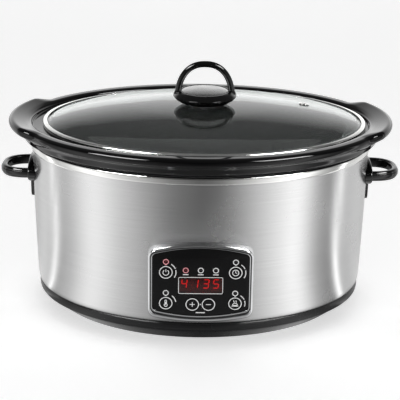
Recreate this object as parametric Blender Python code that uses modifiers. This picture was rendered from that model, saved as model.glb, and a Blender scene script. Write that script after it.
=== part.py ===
"""An oval electric slow cooker: brushed steel housing on a black base, a lift-out
stoneware crock, a domed glass lid with a loop knob, and a digital control panel.

Sizes are in millimetres and turned to metres as the meshes are made. The front faces
-Y, +X is to the right, and the feet stand on Z = 0. An oval's size is (half width
along X, half depth along Y), so a wall keeps its thickness all the way round.
"""

import math

import bmesh
import bpy
from mathutils import Matrix, Vector

MM = 0.001
GAP = 0.3                    # clearance between touching pieces
OVAL_SIDES = 48              # sides of every oval ring

# Heights above the table.
SKIRT_BOTTOM = 2.5
BAND_BOTTOM = 16.0
BAND_TOP = 25.0
SHELL_TOP = 175.6
RIM_TOP = 177.4
PAN_TOP = 179.0
LEDGE_Z = 192.9              # where the lid rests in the crock
CROCK_TOP = 199.0
GLASS_TOP = 213.9
KNOB_TOP = 259.5

# Ovals.
SHELL_TOP_OVAL = (176.4, 135.4)
BAND_OVAL = (172.2, 135.7)
SKIRT_OVAL = (152.2, 119.2)
CROCK_RIM_OVAL = (190.1, 149.0)
LID_OVAL = (168.4, 128.5)

# Outer face of the steel wall, from its foot to its top.
WALL_RINGS = [
    (171.6, 132.6, BAND_TOP + GAP),
    (172.7, 133.3, 28.0),
    (173.4, 133.7, 33.0),
    (174.0, 134.0, 50.0),
    (175.6, 134.9, 107.5),
    (*SHELL_TOP_OVAL, 168.0),
    (*SHELL_TOP_OVAL, SHELL_TOP),
]
WALL_THICKNESS = 1.0

EAR_REACH = 10.0             # how far the crock's lifting ears stand out
EAR_LIFT = 3.4               # and how far they rise above the rest of the rim
EAR_HALF_ANGLE = 28.5        # where an ear ends, as the oval's own angle
EAR_SHOULDER_ANGLE = 23.5    # where it has its full reach

LID_SHIFT = 3.8              # the lid lies this far to the right in its loose seat
GLASS_THICKNESS = 3.2
VENT_AT = (106.0, 22.0)      # from the lid's centre

# Control panel, on a flat plane in front of the wall.
PANEL_FRONT = -144.0
FASCIA_FRONT = -143.6
FASCIA_BACK = -141.6
PANEL_Z = 73.4               # middle of the fascia
FASCIA_HALF_WIDTH = 46.75
FASCIA_TOP_RISE = 35.0       # from the middle up to the crown of the top arch
FASCIA_SIDE_RISE = 28.5      # from the middle up to the corner
FASCIA_CORNER = 4.5
BEZEL_SIDE = 4.3             # width of the chrome frame at the sides
BEZEL_TOP = 3.5
BEZEL_BOTTOM = 8.0
BOARD_FRONT = -133.4
BOARD_BACK = -131.8

BUTTON_RADIUS = 7.1
BUTTON_TRAVEL = 0.6
BUTTONS = {
    "button_power": (-33.8, 10.5),
    "button_temperature": (-33.8, -22.0),
    "button_plus": (-7.9, -23.2),
    "button_minus": (7.9, -23.2),
    "button_delay": (33.8, 10.5),
    "button_keep_warm": (33.8, -22.0),
}
LED_RADIUS = 1.5
LEDS = {
    "led_power": (-33.8, 21.4),
    "led_temperature": (-33.8, -11.2),
    "led_high": (-14.6, 12.6),
    "led_low": (0.0, 12.6),
    "led_warm": (14.6, 12.6),
    "led_delay": (33.8, 21.4),
    "led_keep_warm": (33.8, -11.2),
}
DISPLAY_SIZE = (44.4, 18.6)
DISPLAY_RISE = -3.3          # the display's middle above the fascia's

# Side handles.
HANDLE_Z = 144.2
HANDLE_TIP = 210.0
HANDLE_FACE = 179.5          # outer face of the mounting plate
HANDLE_HALF_SPAN = 28.0
HANDLE_BAR = 7.2             # bar width seen from above
HANDLE_HEIGHT = 10.4
HANDLE_SCREW_Y = 14.0

# Underside.
FOOT_AT = (98.0, 58.0)
FOOT_RADIUS = 9.0
PLATE_OVAL = (147.2, 114.2)
PLATE_BOTTOM = 3.0
PLATE_TOP = 4.5
POWER_BOARD_AT = (62.0, -5.0)
POWER_BOARD_SIZE = (74.0, 52.0)
POWER_BOARD_Z = 14.0

INLET_Z = 47.0


# ---------------------------------------------------------------- scene helpers

def clear_scene():
    """Removes every object that the file opened with."""
    for thing in list(bpy.data.objects):
        bpy.data.objects.remove(thing, do_unlink=True)


def new_collection(name):
    """Makes a collection under the scene's own."""
    made = bpy.data.collections.new(name)
    bpy.context.scene.collection.children.link(made)
    return made


def new_material(name, colour, roughness, metallic=0.0, alpha=1.0):
    """A Principled material with one colour."""
    made = bpy.data.materials.new(name)
    made.use_nodes = True
    shader = made.node_tree.nodes["Principled BSDF"]
    shader.inputs["Base Color"].default_value = (*colour, 1.0)
    shader.inputs["Roughness"].default_value = roughness
    shader.inputs["Metallic"].default_value = metallic
    shader.inputs["Alpha"].default_value = alpha
    made.diffuse_color = (*colour, alpha)
    return made


def add_mesh(name, bm, material, collection, at=(0.0, 0.0, 0.0)):
    """Turns a bmesh, in metres about the point at (mm), into a smooth-shaded object."""
    mesh = bpy.data.meshes.new(name)
    bm.to_mesh(mesh)
    bm.free()
    mesh.shade_smooth()
    mesh.set_sharp_from_angle(angle=math.radians(35.0))
    made = bpy.data.objects.new(name, mesh)
    made.location = Vector(at) * MM
    collection.objects.link(made)
    if material:
        mesh.materials.append(material)
    return made


def as_cutter(thing):
    """Hides a cutter or a joined-on shape from the build."""
    thing.hide_render = True
    thing.display_type = "WIRE"
    return thing


def add_boolean(thing, operation, other):
    """Adds a live Boolean with the exact solver."""
    step = thing.modifiers.new(operation.title(), "BOOLEAN")
    step.operation = operation
    step.solver = "EXACT"
    step.object = other


def add_bevel(thing, width, segments=2, angle=40.0):
    """Rounds the edges sharper than angle."""
    step = thing.modifiers.new("Bevel", "BEVEL")
    step.width = width * MM
    step.segments = segments
    step.limit_method = "ANGLE"
    step.angle_limit = math.radians(angle)


# --------------------------------------------------------------- shape helpers

def extend_loop(bm, verts, points):
    """Extrudes a closed loop of vertices in order and lays the new loop on the points."""
    edges = [bm.edges.get((a, b)) for a, b in zip(verts, verts[1:] + verts[:1])]
    made = bmesh.ops.extrude_edge_only(bm, edges=edges)["geom"]
    fresh = {item for item in made if isinstance(item, bmesh.types.BMVert)}
    loop = []
    for vert, point in zip(verts, points):
        partner = next(edge.other_vert(vert) for edge in vert.link_edges
                       if edge.other_vert(vert) in fresh)
        partner.co = Vector(point) * MM
        loop.append(partner)
    return loop


def loft(rings, closed=False):
    """A skin through rings of points (mm); its ends are capped, or joined if closed."""
    bm = bmesh.new()
    first = [bm.verts.new(Vector(point) * MM) for point in rings[0]]
    for pair in zip(first, first[1:] + first[:1]):
        bm.edges.new(pair)
    loop = first
    for ring in rings[1:] + (rings[:1] if closed else []):
        loop = extend_loop(bm, loop, ring)
    if closed:
        bmesh.ops.remove_doubles(bm, verts=bm.verts, dist=0.000001)
    else:
        bm.faces.new(first)
        bm.faces.new(loop)
    bmesh.ops.recalc_face_normals(bm, faces=bm.faces)
    if bm.calc_volume(signed=True) < 0.0:
        bmesh.ops.reverse_faces(bm, faces=bm.faces)
    return bm


def oval_ring(half_x, half_y, height, ear=0.0, centre=(0.0, 0.0)):
    """The points of one oval ring; ear is the share of the ears' reach it takes."""
    points = []
    for step in range(OVAL_SIDES):
        turn = 2.0 * math.pi * step / OVAL_SIDES
        x, y = half_x * math.cos(turn), half_y * math.sin(turn)
        share = ear * ear_share(turn)
        x += math.copysign(share * EAR_REACH, x)
        points.append((centre[0] + x, centre[1] + y, height + share * EAR_LIFT))
    return points


def ear_share(turn):
    """How much of an ear there is at an angle round the oval, from none to 1."""
    from_end = math.degrees(abs(math.atan2(math.sin(turn), abs(math.cos(turn)))))
    share = (EAR_HALF_ANGLE - from_end) / (EAR_HALF_ANGLE - EAR_SHOULDER_ANGLE)
    share = min(max(share, 0.0), 1.0)
    return share * share * (3.0 - 2.0 * share)


def oval_loft(rings, closed=False, centre=(0.0, 0.0)):
    """A loft through oval rings, each (half_x, half_y, z) or with an ear share."""
    return loft([oval_ring(*ring, centre=centre) for ring in rings], closed)


def inset_rings(rings, by):
    """The same oval rings, smaller by a wall thickness."""
    return [(ring[0] - by, ring[1] - by, ring[2]) for ring in rings]


def turned(name, profile, material, collection, at, sides=24, axis="Z"):
    """A solid turned about its own Z from (radius, height) points in mm.

    The profile starts on the axis at the top, runs down the outer side and ends on
    the axis, or comes back to its first point for a ring. axis then lays the solid's
    Z along a world axis.
    """
    bm = bmesh.new()
    verts = [bm.verts.new((radius * MM, 0.0, height * MM)) for radius, height in profile]
    chain = list(zip(verts, verts[1:]))
    if min(radius for radius, _ in profile) > 0.0:
        chain.append((verts[-1], verts[0]))
    for first, second in chain:
        bm.edges.new((first, second))
    made = add_mesh(name, bm, material, collection, at)
    spin = made.modifiers.new("Screw", "SCREW")
    spin.steps = spin.render_steps = sides
    spin.use_merge_vertices = True
    spin.merge_threshold = 0.00001
    spin.use_smooth_shade = True
    quarter = math.radians(90.0)
    made.rotation_euler = {
        "Z": (0.0, 0.0, 0.0),
        "-Y": (quarter, 0.0, 0.0),
        "Y": (-quarter, 0.0, 0.0),
        "X": (0.0, quarter, 0.0),
        "-X": (0.0, -quarter, 0.0),
    }[axis]
    return made


def block(name, low, high, material, collection):
    """A box between two corners (mm)."""
    centre = [(a + b) / 2.0 for a, b in zip(low, high)]
    size = [(b - a) * MM for a, b in zip(low, high)]
    bm = bmesh.new()
    bmesh.ops.create_cube(bm, size=1.0)
    bmesh.ops.scale(bm, vec=size, verts=bm.verts)
    return add_mesh(name, bm, material, collection, centre)


def rod(bm, start, end, radius, sides=16):
    """Adds a cylinder between two points (mm) to a bmesh in world metres."""
    along = Vector(end) - Vector(start)
    middle = (Vector(end) + Vector(start)) / 2.0 * MM
    turn = along.to_track_quat("Z", "Y").to_matrix().to_4x4()
    bmesh.ops.create_cone(
        bm, cap_ends=True, segments=sides, radius1=radius * MM, radius2=radius * MM,
        depth=along.length * MM, matrix=Matrix.Translation(middle) @ turn)


def screw_profile(head_radius, head_height, shank_radius, length):
    """A pan-head screw with its head on top; its seat is at height 0."""
    return [
        (0.0, head_height), (head_radius * 0.7, head_height), (head_radius, head_height * 0.4),
        (head_radius, 0.0), (shank_radius, 0.0), (shank_radius, -length), (0.0, -length),
    ]


def barrel_outline(grow=0.0, top=0.0, bottom=0.0, corner=FASCIA_CORNER):
    """The panel's outline as (x, z) points from its middle, anticlockwise.

    The sides are straight, the top and bottom are shallow arches and the corners are
    round. grow moves the sides out, and top and bottom move the arches out.
    """
    half = FASCIA_HALF_WIDTH + grow
    sag = FASCIA_TOP_RISE - FASCIA_SIDE_RISE
    arch_radius = (half ** 2 + sag ** 2) / (2.0 * sag)
    points = []
    for sign, out in ((1.0, top), (-1.0, bottom)):
        crown = FASCIA_TOP_RISE + out
        centre = crown - arch_radius
        inner = half - corner
        corner_z = centre + math.sqrt((arch_radius - corner) ** 2 - inner ** 2)
        lean = math.atan2(inner, corner_z - centre)
        run = []
        for step in range(5):
            turn = math.pi / 2.0 - (math.pi / 2.0 - lean) * step / 4.0
            run.append((inner + corner * math.sin(turn), corner_z + corner * math.cos(turn)))
        for step in range(1, 5):
            turn = lean - 2.0 * lean * step / 5.0
            run.append((arch_radius * math.sin(turn), centre + arch_radius * math.cos(turn)))
        for step in range(5):
            turn = -lean - (math.pi / 2.0 - lean) * step / 4.0
            run.append((-inner + corner * math.sin(turn), corner_z + corner * math.cos(turn)))
        points += [(sign * x, sign * z) for x, z in run]
    return points


def panel_ring(depth, grow=0.0, top=None, bottom=None, corner=FASCIA_CORNER):
    """The barrel outline as a ring of points in the plane y = depth."""
    top = grow if top is None else top
    bottom = grow if bottom is None else bottom
    outline = barrel_outline(grow, top, bottom, corner)
    return [(x, depth, PANEL_Z + z) for x, z in outline]


def shell_solid(name, grow, collection):
    """A solid filling the housing out to grow past its wall, used to trim neighbours."""
    rings = [(a + grow, b + grow, z) for a, b, z in WALL_RINGS]
    rings[0] = (*rings[0][:2], 0.0)
    rings[-1] = (*rings[-1][:2], RIM_TOP + 20.0)
    return as_cutter(add_mesh(name, oval_loft(rings), None, collection))


def curve_to_mesh(curve_object, collection):
    """Replaces a curve object with its welded mesh."""
    graph = bpy.context.evaluated_depsgraph_get()
    mesh = bpy.data.meshes.new_from_object(curve_object.evaluated_get(graph))
    bm = bmesh.new()
    bm.from_mesh(mesh)
    bmesh.ops.remove_doubles(bm, verts=bm.verts, dist=0.00001)
    bm.to_mesh(mesh)
    bm.free()
    made = bpy.data.objects.new(curve_object.name + "_mesh", mesh)
    made.matrix_world = curve_object.matrix_world.copy()
    collection.objects.link(made)
    bpy.data.objects.remove(curve_object, do_unlink=True)
    return made


def flat_outline(name, outlines, thickness, collection):
    """A filled flat curve through outlines of (x, y) points (mm), thick along its Z."""
    data = bpy.data.curves.new(name, "CURVE")
    data.dimensions = "2D"
    data.fill_mode = "BOTH"
    data.extrude = thickness / 2.0 * MM
    for outline in outlines:
        spline = data.splines.new("POLY")
        spline.points.add(len(outline) - 1)
        for point, (x, y) in zip(spline.points, outline):
            point.co = (x * MM, y * MM, 0.0, 1.0)
        spline.use_cyclic_u = True
    made = bpy.data.objects.new(name, data)
    collection.objects.link(made)
    bpy.context.view_layer.update()
    return made


# ---------------------------------------------------------------- the housing

def make_outer_shell(parts, cutters, material):
    """Brushed steel wall with holes for the panel, the handle screws and the inlet."""
    rings = WALL_RINGS + inset_rings(WALL_RINGS, WALL_THICKNESS)[::-1]
    shell = add_mesh("outer_shell", oval_loft(rings, closed=True), material, parts)
    window = loft([panel_ring(PANEL_FRONT, 0.2), panel_ring(-110.0, 0.2)])
    add_boolean(shell, "DIFFERENCE", as_cutter(add_mesh("window_cutter", window, None, cutters)))
    bm = bmesh.new()
    for side in (-1.0, 1.0):
        for y in (-HANDLE_SCREW_Y, HANDLE_SCREW_Y):
            rod(bm, (side * 165.0, y, HANDLE_Z), (side * 185.0, y, HANDLE_Z), 2.3, 8)
    rod(bm, (0.0, 120.0, INLET_Z), (0.0, 145.0, INLET_Z), 8.3, 20)
    add_boolean(shell, "DIFFERENCE", as_cutter(add_mesh("shell_hole_cutter", bm, None, cutters)))


def make_top_rim_ring(parts, material):
    """Polished rolled band that caps the wall and carries the pan's flange."""
    skirt, top = SHELL_TOP_OVAL, RIM_TOP
    out = [(skirt[0] + grow, skirt[1] + grow, z) for grow, z in (
        (0.8, 170.3), (1.2, 171.3), (1.2, top - 2.1), (0.6, top - 0.6), (-1.0, top),
        (-6.9, top), (-6.9, top - 1.4), (GAP, top - 1.4), (GAP, 170.3))]
    add_mesh("top_rim_ring", oval_loft(out, closed=True), material, parts)


def make_base_ring(parts, material):
    """Moulded base: a proud upper band over a skirt that slopes in to the table."""
    band, skirt = BAND_OVAL, SKIRT_OVAL
    rings = [
        (band[0] - 4.2, band[1] - 6.7, BAND_TOP),
        (band[0] - 1.0, band[1] - 2.4, BAND_TOP),
        (band[0] - 0.3, band[1] - 0.6, BAND_TOP - 2.5),
        (*band, BAND_TOP - 5.5),
        (band[0] - 0.8, band[1] - 0.7, BAND_BOTTOM + 0.4),
        (band[0] - 3.0, band[1] - 2.8, BAND_BOTTOM),
        (band[0] - 3.8, band[1] - 3.5, BAND_BOTTOM - 1.2),
        (*skirt, SKIRT_BOTTOM),
        (PLATE_OVAL[0] + 1.3, PLATE_OVAL[1] + 1.3, SKIRT_BOTTOM),
        (PLATE_OVAL[0] + 1.3, PLATE_OVAL[1] + 1.3, PLATE_TOP + GAP),
        (PLATE_OVAL[0] - 9.0, PLATE_OVAL[1] - 9.0, PLATE_TOP + GAP),
        (PLATE_OVAL[0] - 9.0, PLATE_OVAL[1] - 9.0, PLATE_TOP + 2.3),
        (PLATE_OVAL[0] + 3.0, PLATE_OVAL[1] + 3.0, PLATE_TOP + 2.3),
        (band[0] - 6.2, band[1] - 8.5, BAND_BOTTOM + 1.0),
        (band[0] - 4.2, band[1] - 6.7, BAND_BOTTOM + 4.0),
    ]
    add_mesh("base_ring", oval_loft(rings, closed=True), material, parts)


def foot_positions():
    """The four feet, as (name ending, x, y)."""
    x, y = FOOT_AT
    return [("front_left", -x, -y), ("front_right", x, -y), ("back_left", -x, y), ("back_right", x, y)]


def make_bottom_plate(parts, cutters, material):
    """Steel cover under the base, with threaded bosses and a hole for the centre bolt."""
    rings = [(*PLATE_OVAL, PLATE_BOTTOM), (*PLATE_OVAL, PLATE_TOP)]
    plate = add_mesh("bottom_plate", oval_loft(rings), material, parts)
    bosses = bmesh.new()
    holes = bmesh.new()
    for _, x, y in foot_positions():
        rod(bosses, (x, y, PLATE_TOP - 1.0), (x, y, 11.5), 4.0, 8)
        rod(holes, (x, y, 0.0), (x, y, 20.0), 2.3, 8)
    for along in (-1.0, 1.0):
        x = POWER_BOARD_AT[0] + along * (POWER_BOARD_SIZE[0] / 2.0 - 6.0)
        y = POWER_BOARD_AT[1]
        rod(bosses, (x, y, PLATE_TOP - 1.0), (x, y, POWER_BOARD_Z - GAP), 3.5, 8)
    rod(holes, (0.0, 0.0, 0.0), (0.0, 0.0, 20.0), 2.9, 12)
    boss = as_cutter(add_mesh("plate_bosses", bosses, None, cutters))
    hole = as_cutter(add_mesh("plate_hole_cutter", holes, None, cutters))
    add_boolean(plate, "UNION", boss)
    add_boolean(plate, "DIFFERENCE", hole)


def make_feet(parts, rubber, zinc):
    """Four rubber feet, each held by a screw in a counterbore."""
    top = PLATE_BOTTOM - GAP
    for ending, x, y in foot_positions():
        turned("foot_" + ending, [
            (2.3, top), (FOOT_RADIUS, top), (FOOT_RADIUS, 1.0), (FOOT_RADIUS - 1.0, 0.0),
            (4.8, 0.0), (4.8, 1.6), (2.3, 1.6)], rubber, parts, (x, y, 0.0), 16)
        screw = turned("foot_screw_" + ending, screw_profile(4.3, 0.9, 1.9, 9.0),
                       zinc, parts, (x, y, 1.6 - GAP), 8)
        screw.rotation_euler = (math.pi, 0.0, 0.0)


# ---------------------------------------------------------------- the heater

PAN_INSIDE = [(163.5, 122.5, PAN_TOP), (152.0, 111.0, 62.0), (147.0, 106.0, 50.0),
              (136.0, 95.0, 42.0), (120.0, 80.0, 39.5)]
PAN_WALL = 1.2


def pan_outside_at(height):
    """The pan's outer oval at a height on its straight wall."""
    top, low = PAN_INSIDE[0], PAN_INSIDE[1]
    share = (height - low[2]) / (top[2] - low[2])
    return tuple(low[i] + (top[i] - low[i]) * share + PAN_WALL for i in (0, 1))


def make_heating_pan(parts, material):
    """The liner that the crock hangs in, with a flange that lies on the rim ring."""
    flange = (PAN_INSIDE[0][0] + 8.5, PAN_INSIDE[0][1] + 8.5)
    neck = pan_outside_at(RIM_TOP + GAP)
    outside = [(*flange, PAN_TOP), (*flange, RIM_TOP + GAP), (*neck, RIM_TOP + GAP)]
    outside += [(a + PAN_WALL, b + PAN_WALL, z - 0.4) for a, b, z in PAN_INSIDE[1:-1]]
    a, b, z = PAN_INSIDE[-1]
    outside.append((a, b, z - PAN_WALL))
    rings = PAN_INSIDE[::-1] + outside
    add_mesh("heating_pan", oval_loft(rings), material, parts)


def sleeve(low, high, clear, thickness):
    """The four rings of a sleeve round the pan between two heights."""
    inner = [(*(size + clear for size in pan_outside_at(z)), z) for z in (low, high)]
    outer = [(a + thickness, b + thickness, z) for a, b, z in inner]
    return [inner[0], inner[1], outer[1], outer[0]]


def make_heating_band(parts, material):
    """The flat heating element wrapped round the pan."""
    add_mesh("heating_band", oval_loft(sleeve(70.0, 112.0, 0.5, 1.6), closed=True), material, parts)


def make_heat_shield(parts, material):
    """Thin aluminised sleeve between the element and the outer wall."""
    inner = [(160.0, 119.0, 32.0), (167.0, 126.0, 165.0)]
    outer = [(a + 0.8, b + 0.8, z) for a, b, z in inner]
    rings = [inner[0], inner[1], outer[1], outer[0]]
    add_mesh("heat_shield", oval_loft(rings, closed=True), material, parts)


def make_pan_bracket(parts, cutters, material):
    """A hat-shaped strip under the pan that takes the centre bolt."""
    top = PAN_INSIDE[-1][2] - PAN_WALL - GAP
    thick = 1.4
    drop = 9.0
    outline = [(-42.0, top), (-42.0, top - thick), (-22.0 - thick, top - thick),
               (-22.0 - thick, top - drop), (22.0 + thick, top - drop),
               (22.0 + thick, top - thick), (42.0, top - thick), (42.0, top),
               (22.0, top), (22.0, top - drop + thick), (-22.0, top - drop + thick), (-22.0, top)]
    strip = flat_outline("bracket_outline", [outline], 24.0, cutters)
    strip.rotation_euler = (math.radians(90.0), 0.0, 0.0)
    bpy.context.view_layer.update()
    bracket = curve_to_mesh(strip, parts)
    bracket.name = "pan_bracket"
    bracket.data.materials.clear()
    bracket.data.materials.append(material)
    hole = bmesh.new()
    rod(hole, (0.0, 0.0, top - drop - 3.0), (0.0, 0.0, top - drop + 4.0), 2.8, 12)
    add_boolean(bracket, "DIFFERENCE", as_cutter(add_mesh("bracket_hole", hole, None, cutters)))


def make_centre_bolt(parts, material):
    """Pulls the bottom plate and the pan together, so they clamp the housing."""
    bolt = turned("centre_bolt", screw_profile(6.0, 1.6, 2.5, 31.0), material, parts,
                  (0.0, 0.0, PLATE_BOTTOM - GAP), 16)
    bolt.rotation_euler = (math.pi, 0.0, 0.0)


def make_sensors(parts, metal, ceramic):
    """The thermistor pressed on the pan's floor, and the thermal fuse beside it."""
    floor = PAN_INSIDE[-1][2] - PAN_WALL - GAP
    turned("temperature_sensor", [(0.0, floor), (6.0, floor), (6.5, floor - 0.6),
                                  (6.5, floor - 5.0), (3.5, floor - 5.0),
                                  (3.5, floor - 11.0), (0.0, floor - 11.0)],
           metal, parts, (-66.0, 0.0, 0.0), 16)
    turned("thermal_fuse", [(0.0, 11.0), (0.6, 11.0), (0.6, 7.0), (2.4, 6.5), (2.4, -6.5),
                            (0.6, -7.0), (0.6, -11.0), (0.0, -11.0)],
           ceramic, parts, (-30.0, 42.0, floor - 2.6), 12, axis="X")


# ---------------------------------------------------------- the side handles

def handle_path(side):
    """The loop's centreline seen from above, from one end in the plate to the other."""
    reach = HANDLE_TIP - HANDLE_FACE - HANDLE_BAR / 2.0
    half = HANDLE_HALF_SPAN - HANDLE_BAR / 2.0
    root = HANDLE_FACE - 4.9
    steps = 12
    power = 2.0 / 2.5
    points = [Vector((side * root, -half))]
    for step in range(steps + 1):
        turn = math.pi * (step / steps - 0.5)
        x = reach * abs(math.cos(turn)) ** power
        y = half * math.copysign(abs(math.sin(turn)) ** power, turn)
        points.append(Vector((side * (HANDLE_FACE + x), y)))
    return points + [Vector((side * root, half))]


def bar_section():
    """The bar's cross-section: a tall rectangle with its corners cut off."""
    wide, tall, cut = HANDLE_BAR / 2.0, HANDLE_HEIGHT / 2.0, 2.2
    return [(wide, cut - tall), (wide, tall - cut), (wide - cut, tall), (cut - wide, tall),
            (-wide, tall - cut), (-wide, cut - tall), (cut - wide, -tall), (wide - cut, -tall)]


def handle_loop(side):
    """The D-shaped bar, swept along its path."""
    path = handle_path(side)
    rings = []
    for index, point in enumerate(path):
        ahead = path[min(index + 1, len(path) - 1)] - path[max(index - 1, 0)]
        across = Vector((ahead.y, -ahead.x)).normalized()
        rings.append([(*(point + across * out), HANDLE_Z + up) for out, up in bar_section()])
    return loft(rings)


def plate_ring(x, inset):
    """The mounting plate's outline in a plane of constant x: an oval with a tongue below."""
    tongue_half, tongue_low = 5.0 - inset * 0.6, 32.4 - inset
    wide, tall = 32.0 - inset, 13.0 - inset
    points = [(-tongue_half, -tall), (1.4 - tongue_half, 2.4 - tongue_low), (-1.8, -tongue_low),
              (1.8, -tongue_low), (tongue_half - 1.4, 2.4 - tongue_low), (tongue_half, -tall)]
    steps = 20
    for step in range(1, steps):
        turn = 2.0 * math.pi * step / steps - math.pi / 2.0
        points.append((wide * math.cos(turn), tall * math.sin(turn)))
    return [(x, y, HANDLE_Z + z) for y, z in points]


def make_side_handle(side, parts, cutters, material, trim):
    """A moulded D loop on an oval plate that follows the wall."""
    name = "side_handle_left" if side < 0.0 else "side_handle_right"
    rings = [plate_ring(side * 160.0, 0.0), plate_ring(side * (HANDLE_FACE - 1.2), 0.0),
             plate_ring(side * HANDLE_FACE, 1.2)]
    plate = add_mesh(name, loft(rings), material, parts)
    loop = as_cutter(add_mesh(name + "_loop", handle_loop(side), None, cutters))
    holes = bmesh.new()
    for y in (-HANDLE_SCREW_Y, HANDLE_SCREW_Y):
        rod(holes, (side * 155.0, y, HANDLE_Z), (side * (HANDLE_FACE - 1.6), y, HANDLE_Z), 2.2, 8)
    cutter = as_cutter(add_mesh(name + "_hole_cutter", holes, None, cutters))
    add_boolean(plate, "DIFFERENCE", trim)
    add_boolean(plate, "DIFFERENCE", cutter)
    add_boolean(plate, "UNION", loop)


def make_handle_fixings(side, parts, cutters, material, zinc):
    """A backing plate inside the wall and two screws into the handle."""
    ending = "left" if side < 0.0 else "right"
    low, high = 168.6, 170.2
    corners = sorted((side * low, side * high))
    plate = block("handle_backing_" + ending, (corners[0], -22.0, HANDLE_Z - 8.0),
                  (corners[1], 22.0, HANDLE_Z + 8.0), material, parts)
    holes = bmesh.new()
    for y in (-HANDLE_SCREW_Y, HANDLE_SCREW_Y):
        rod(holes, (side * 165.0, y, HANDLE_Z), (side * 175.0, y, HANDLE_Z), 2.3, 8)
    cutter = as_cutter(add_mesh(plate.name + "_hole_cutter", holes, None, cutters))
    add_boolean(plate, "DIFFERENCE", cutter)
    for y, place in ((-HANDLE_SCREW_Y, "front"), (HANDLE_SCREW_Y, "back")):
        turned(f"handle_screw_{ending}_{place}", screw_profile(3.6, 1.9, 1.9, 8.6), zinc, parts,
               (side * (low - GAP), y, HANDLE_Z), 8, axis="-X" if side > 0.0 else "X")


# ------------------------------------------------------- the crock and the lid

def make_crock(parts, material):
    """Glazed stoneware bowl whose thick rim has two lifting ears and a lid ledge."""
    rim = CROCK_RIM_OVAL
    rings = [
        (118.0, 77.0, 43.0), (134.0, 93.0, 44.8), (145.0, 104.0, 52.0), (149.5, 108.5, 62.0),
        (159.5, 118.5, PAN_TOP + GAP), (173.0, 132.0, PAN_TOP + GAP),
        (175.5, 133.0, 180.6), (182.8, 137.8, 180.6), (184.6, 139.2, 181.8),
        (187.2, 141.6, 187.6), (188.4, 144.6, 190.0, 0.55), (rim[0] - 0.8, rim[1] - 1.0, 191.7, 1.0),
        (*rim, 195.4, 1.0), (rim[0] - 1.4, rim[1] - 1.5, 198.0, 1.0),
        (rim[0] - 4.4, rim[1] - 4.8, CROCK_TOP, 1.0), (180.4, 136.8, CROCK_TOP - 0.1, 0.2),
        (177.3, 132.6, CROCK_TOP - 1.0), (176.0, 131.2, CROCK_TOP - 2.6), (175.4, 130.6, LEDGE_Z),
        (153.5, 112.5, LEDGE_Z), (152.0, 111.0, LEDGE_Z - 1.5),
        (142.0, 101.0, 64.0), (135.0, 94.0, 54.0), (118.0, 77.0, 50.5),
    ]
    add_mesh("crock", oval_loft(rings), material, parts, (0.0, 0.0, 0.0))


GLASS_RINGS = [(167.4, 127.5, 196.6), (163.0, 123.3, 197.0), (157.0, 118.0, 199.4),
               (138.0, 103.5, 204.2), (108.0, 80.0, 208.8), (72.0, 53.0, 212.1),
               (34.0, 26.0, 213.6), (5.0, 5.0, GLASS_TOP)]


def glass_height(x, y):
    """Height of the glass's top face at a point from the lid's centre."""
    for outer, inner in zip(GLASS_RINGS, GLASS_RINGS[1:]):
        past_outer = math.hypot(x / outer[0], y / outer[1])
        past_inner = math.hypot(x / inner[0], y / inner[1])
        if past_outer <= 1.0 <= past_inner:
            share = (1.0 - past_outer) / (past_inner - past_outer)
            return outer[2] + (inner[2] - outer[2]) * share
    return GLASS_TOP


def vent_matrix():
    """The steam vent's place, square to the glass there."""
    x, y = VENT_AT
    step = 5.0
    lean_x = (glass_height(x - step, y) - glass_height(x + step, y)) / (2.0 * step)
    lean_y = (glass_height(x, y - step) - glass_height(x, y + step)) / (2.0 * step)
    tilt = Vector((lean_x, lean_y, 1.0)).to_track_quat("Z", "Y").to_matrix().to_4x4()
    return Matrix.Translation(Vector((LID_SHIFT + x, y, glass_height(x, y))) * MM) @ tilt


def make_lid_glass(parts, cutters, material):
    """Domed tempered glass with a centre hole for the knob and a steam vent."""
    under = [(a - 0.2, b - 0.2, z - (2.1 if z < 197.5 else GLASS_THICKNESS)) for a, b, z in GLASS_RINGS]
    under[-1] = (5.0, 5.0, GLASS_TOP - GLASS_THICKNESS)
    rings = GLASS_RINGS + under[::-1]
    glass = add_mesh("lid_glass", oval_loft(rings, closed=True, centre=(LID_SHIFT, 0.0)), material, parts)
    hole = bmesh.new()
    bmesh.ops.create_cone(hole, cap_ends=True, segments=16, radius1=0.0042, radius2=0.0042,
                          depth=0.02, matrix=vent_matrix())
    add_boolean(glass, "DIFFERENCE", as_cutter(add_mesh("vent_cutter", hole, None, cutters)))


def make_lid_rim_band(parts, material):
    """Rolled steel channel that grips the edge of the glass."""
    a, b = LID_OVAL
    low = LEDGE_Z + GAP
    rings = [(a + grow, b + grow, z) for grow, z in (
        (-0.5, low), (0.0, low + 0.6), (0.0, 197.0), (-0.5, 197.7), (-3.8, 198.1), (-4.4, 197.9),
        (-4.4, 197.4), (-0.7, 197.0), (-0.7, low + 0.7), (-3.6, low + 0.7), (-3.6, low))]
    add_mesh("lid_rim_band", oval_loft(rings, closed=True, centre=(LID_SHIFT, 0.0)), material, parts)


def make_vent_eyelet(parts, material):
    """A tubular rivet lining the steam vent."""
    eyelet = turned("lid_vent_eyelet", [
        (2.4, 1.4), (3.4, 1.5), (5.6, 1.1), (5.6, 0.6), (3.8, 0.6), (3.8, -4.4),
        (4.6, -4.6), (4.6, -5.1), (2.4, -5.1)], material, parts, (0.0, 0.0, 0.0), 16)
    eyelet.matrix_world = vent_matrix()


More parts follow.
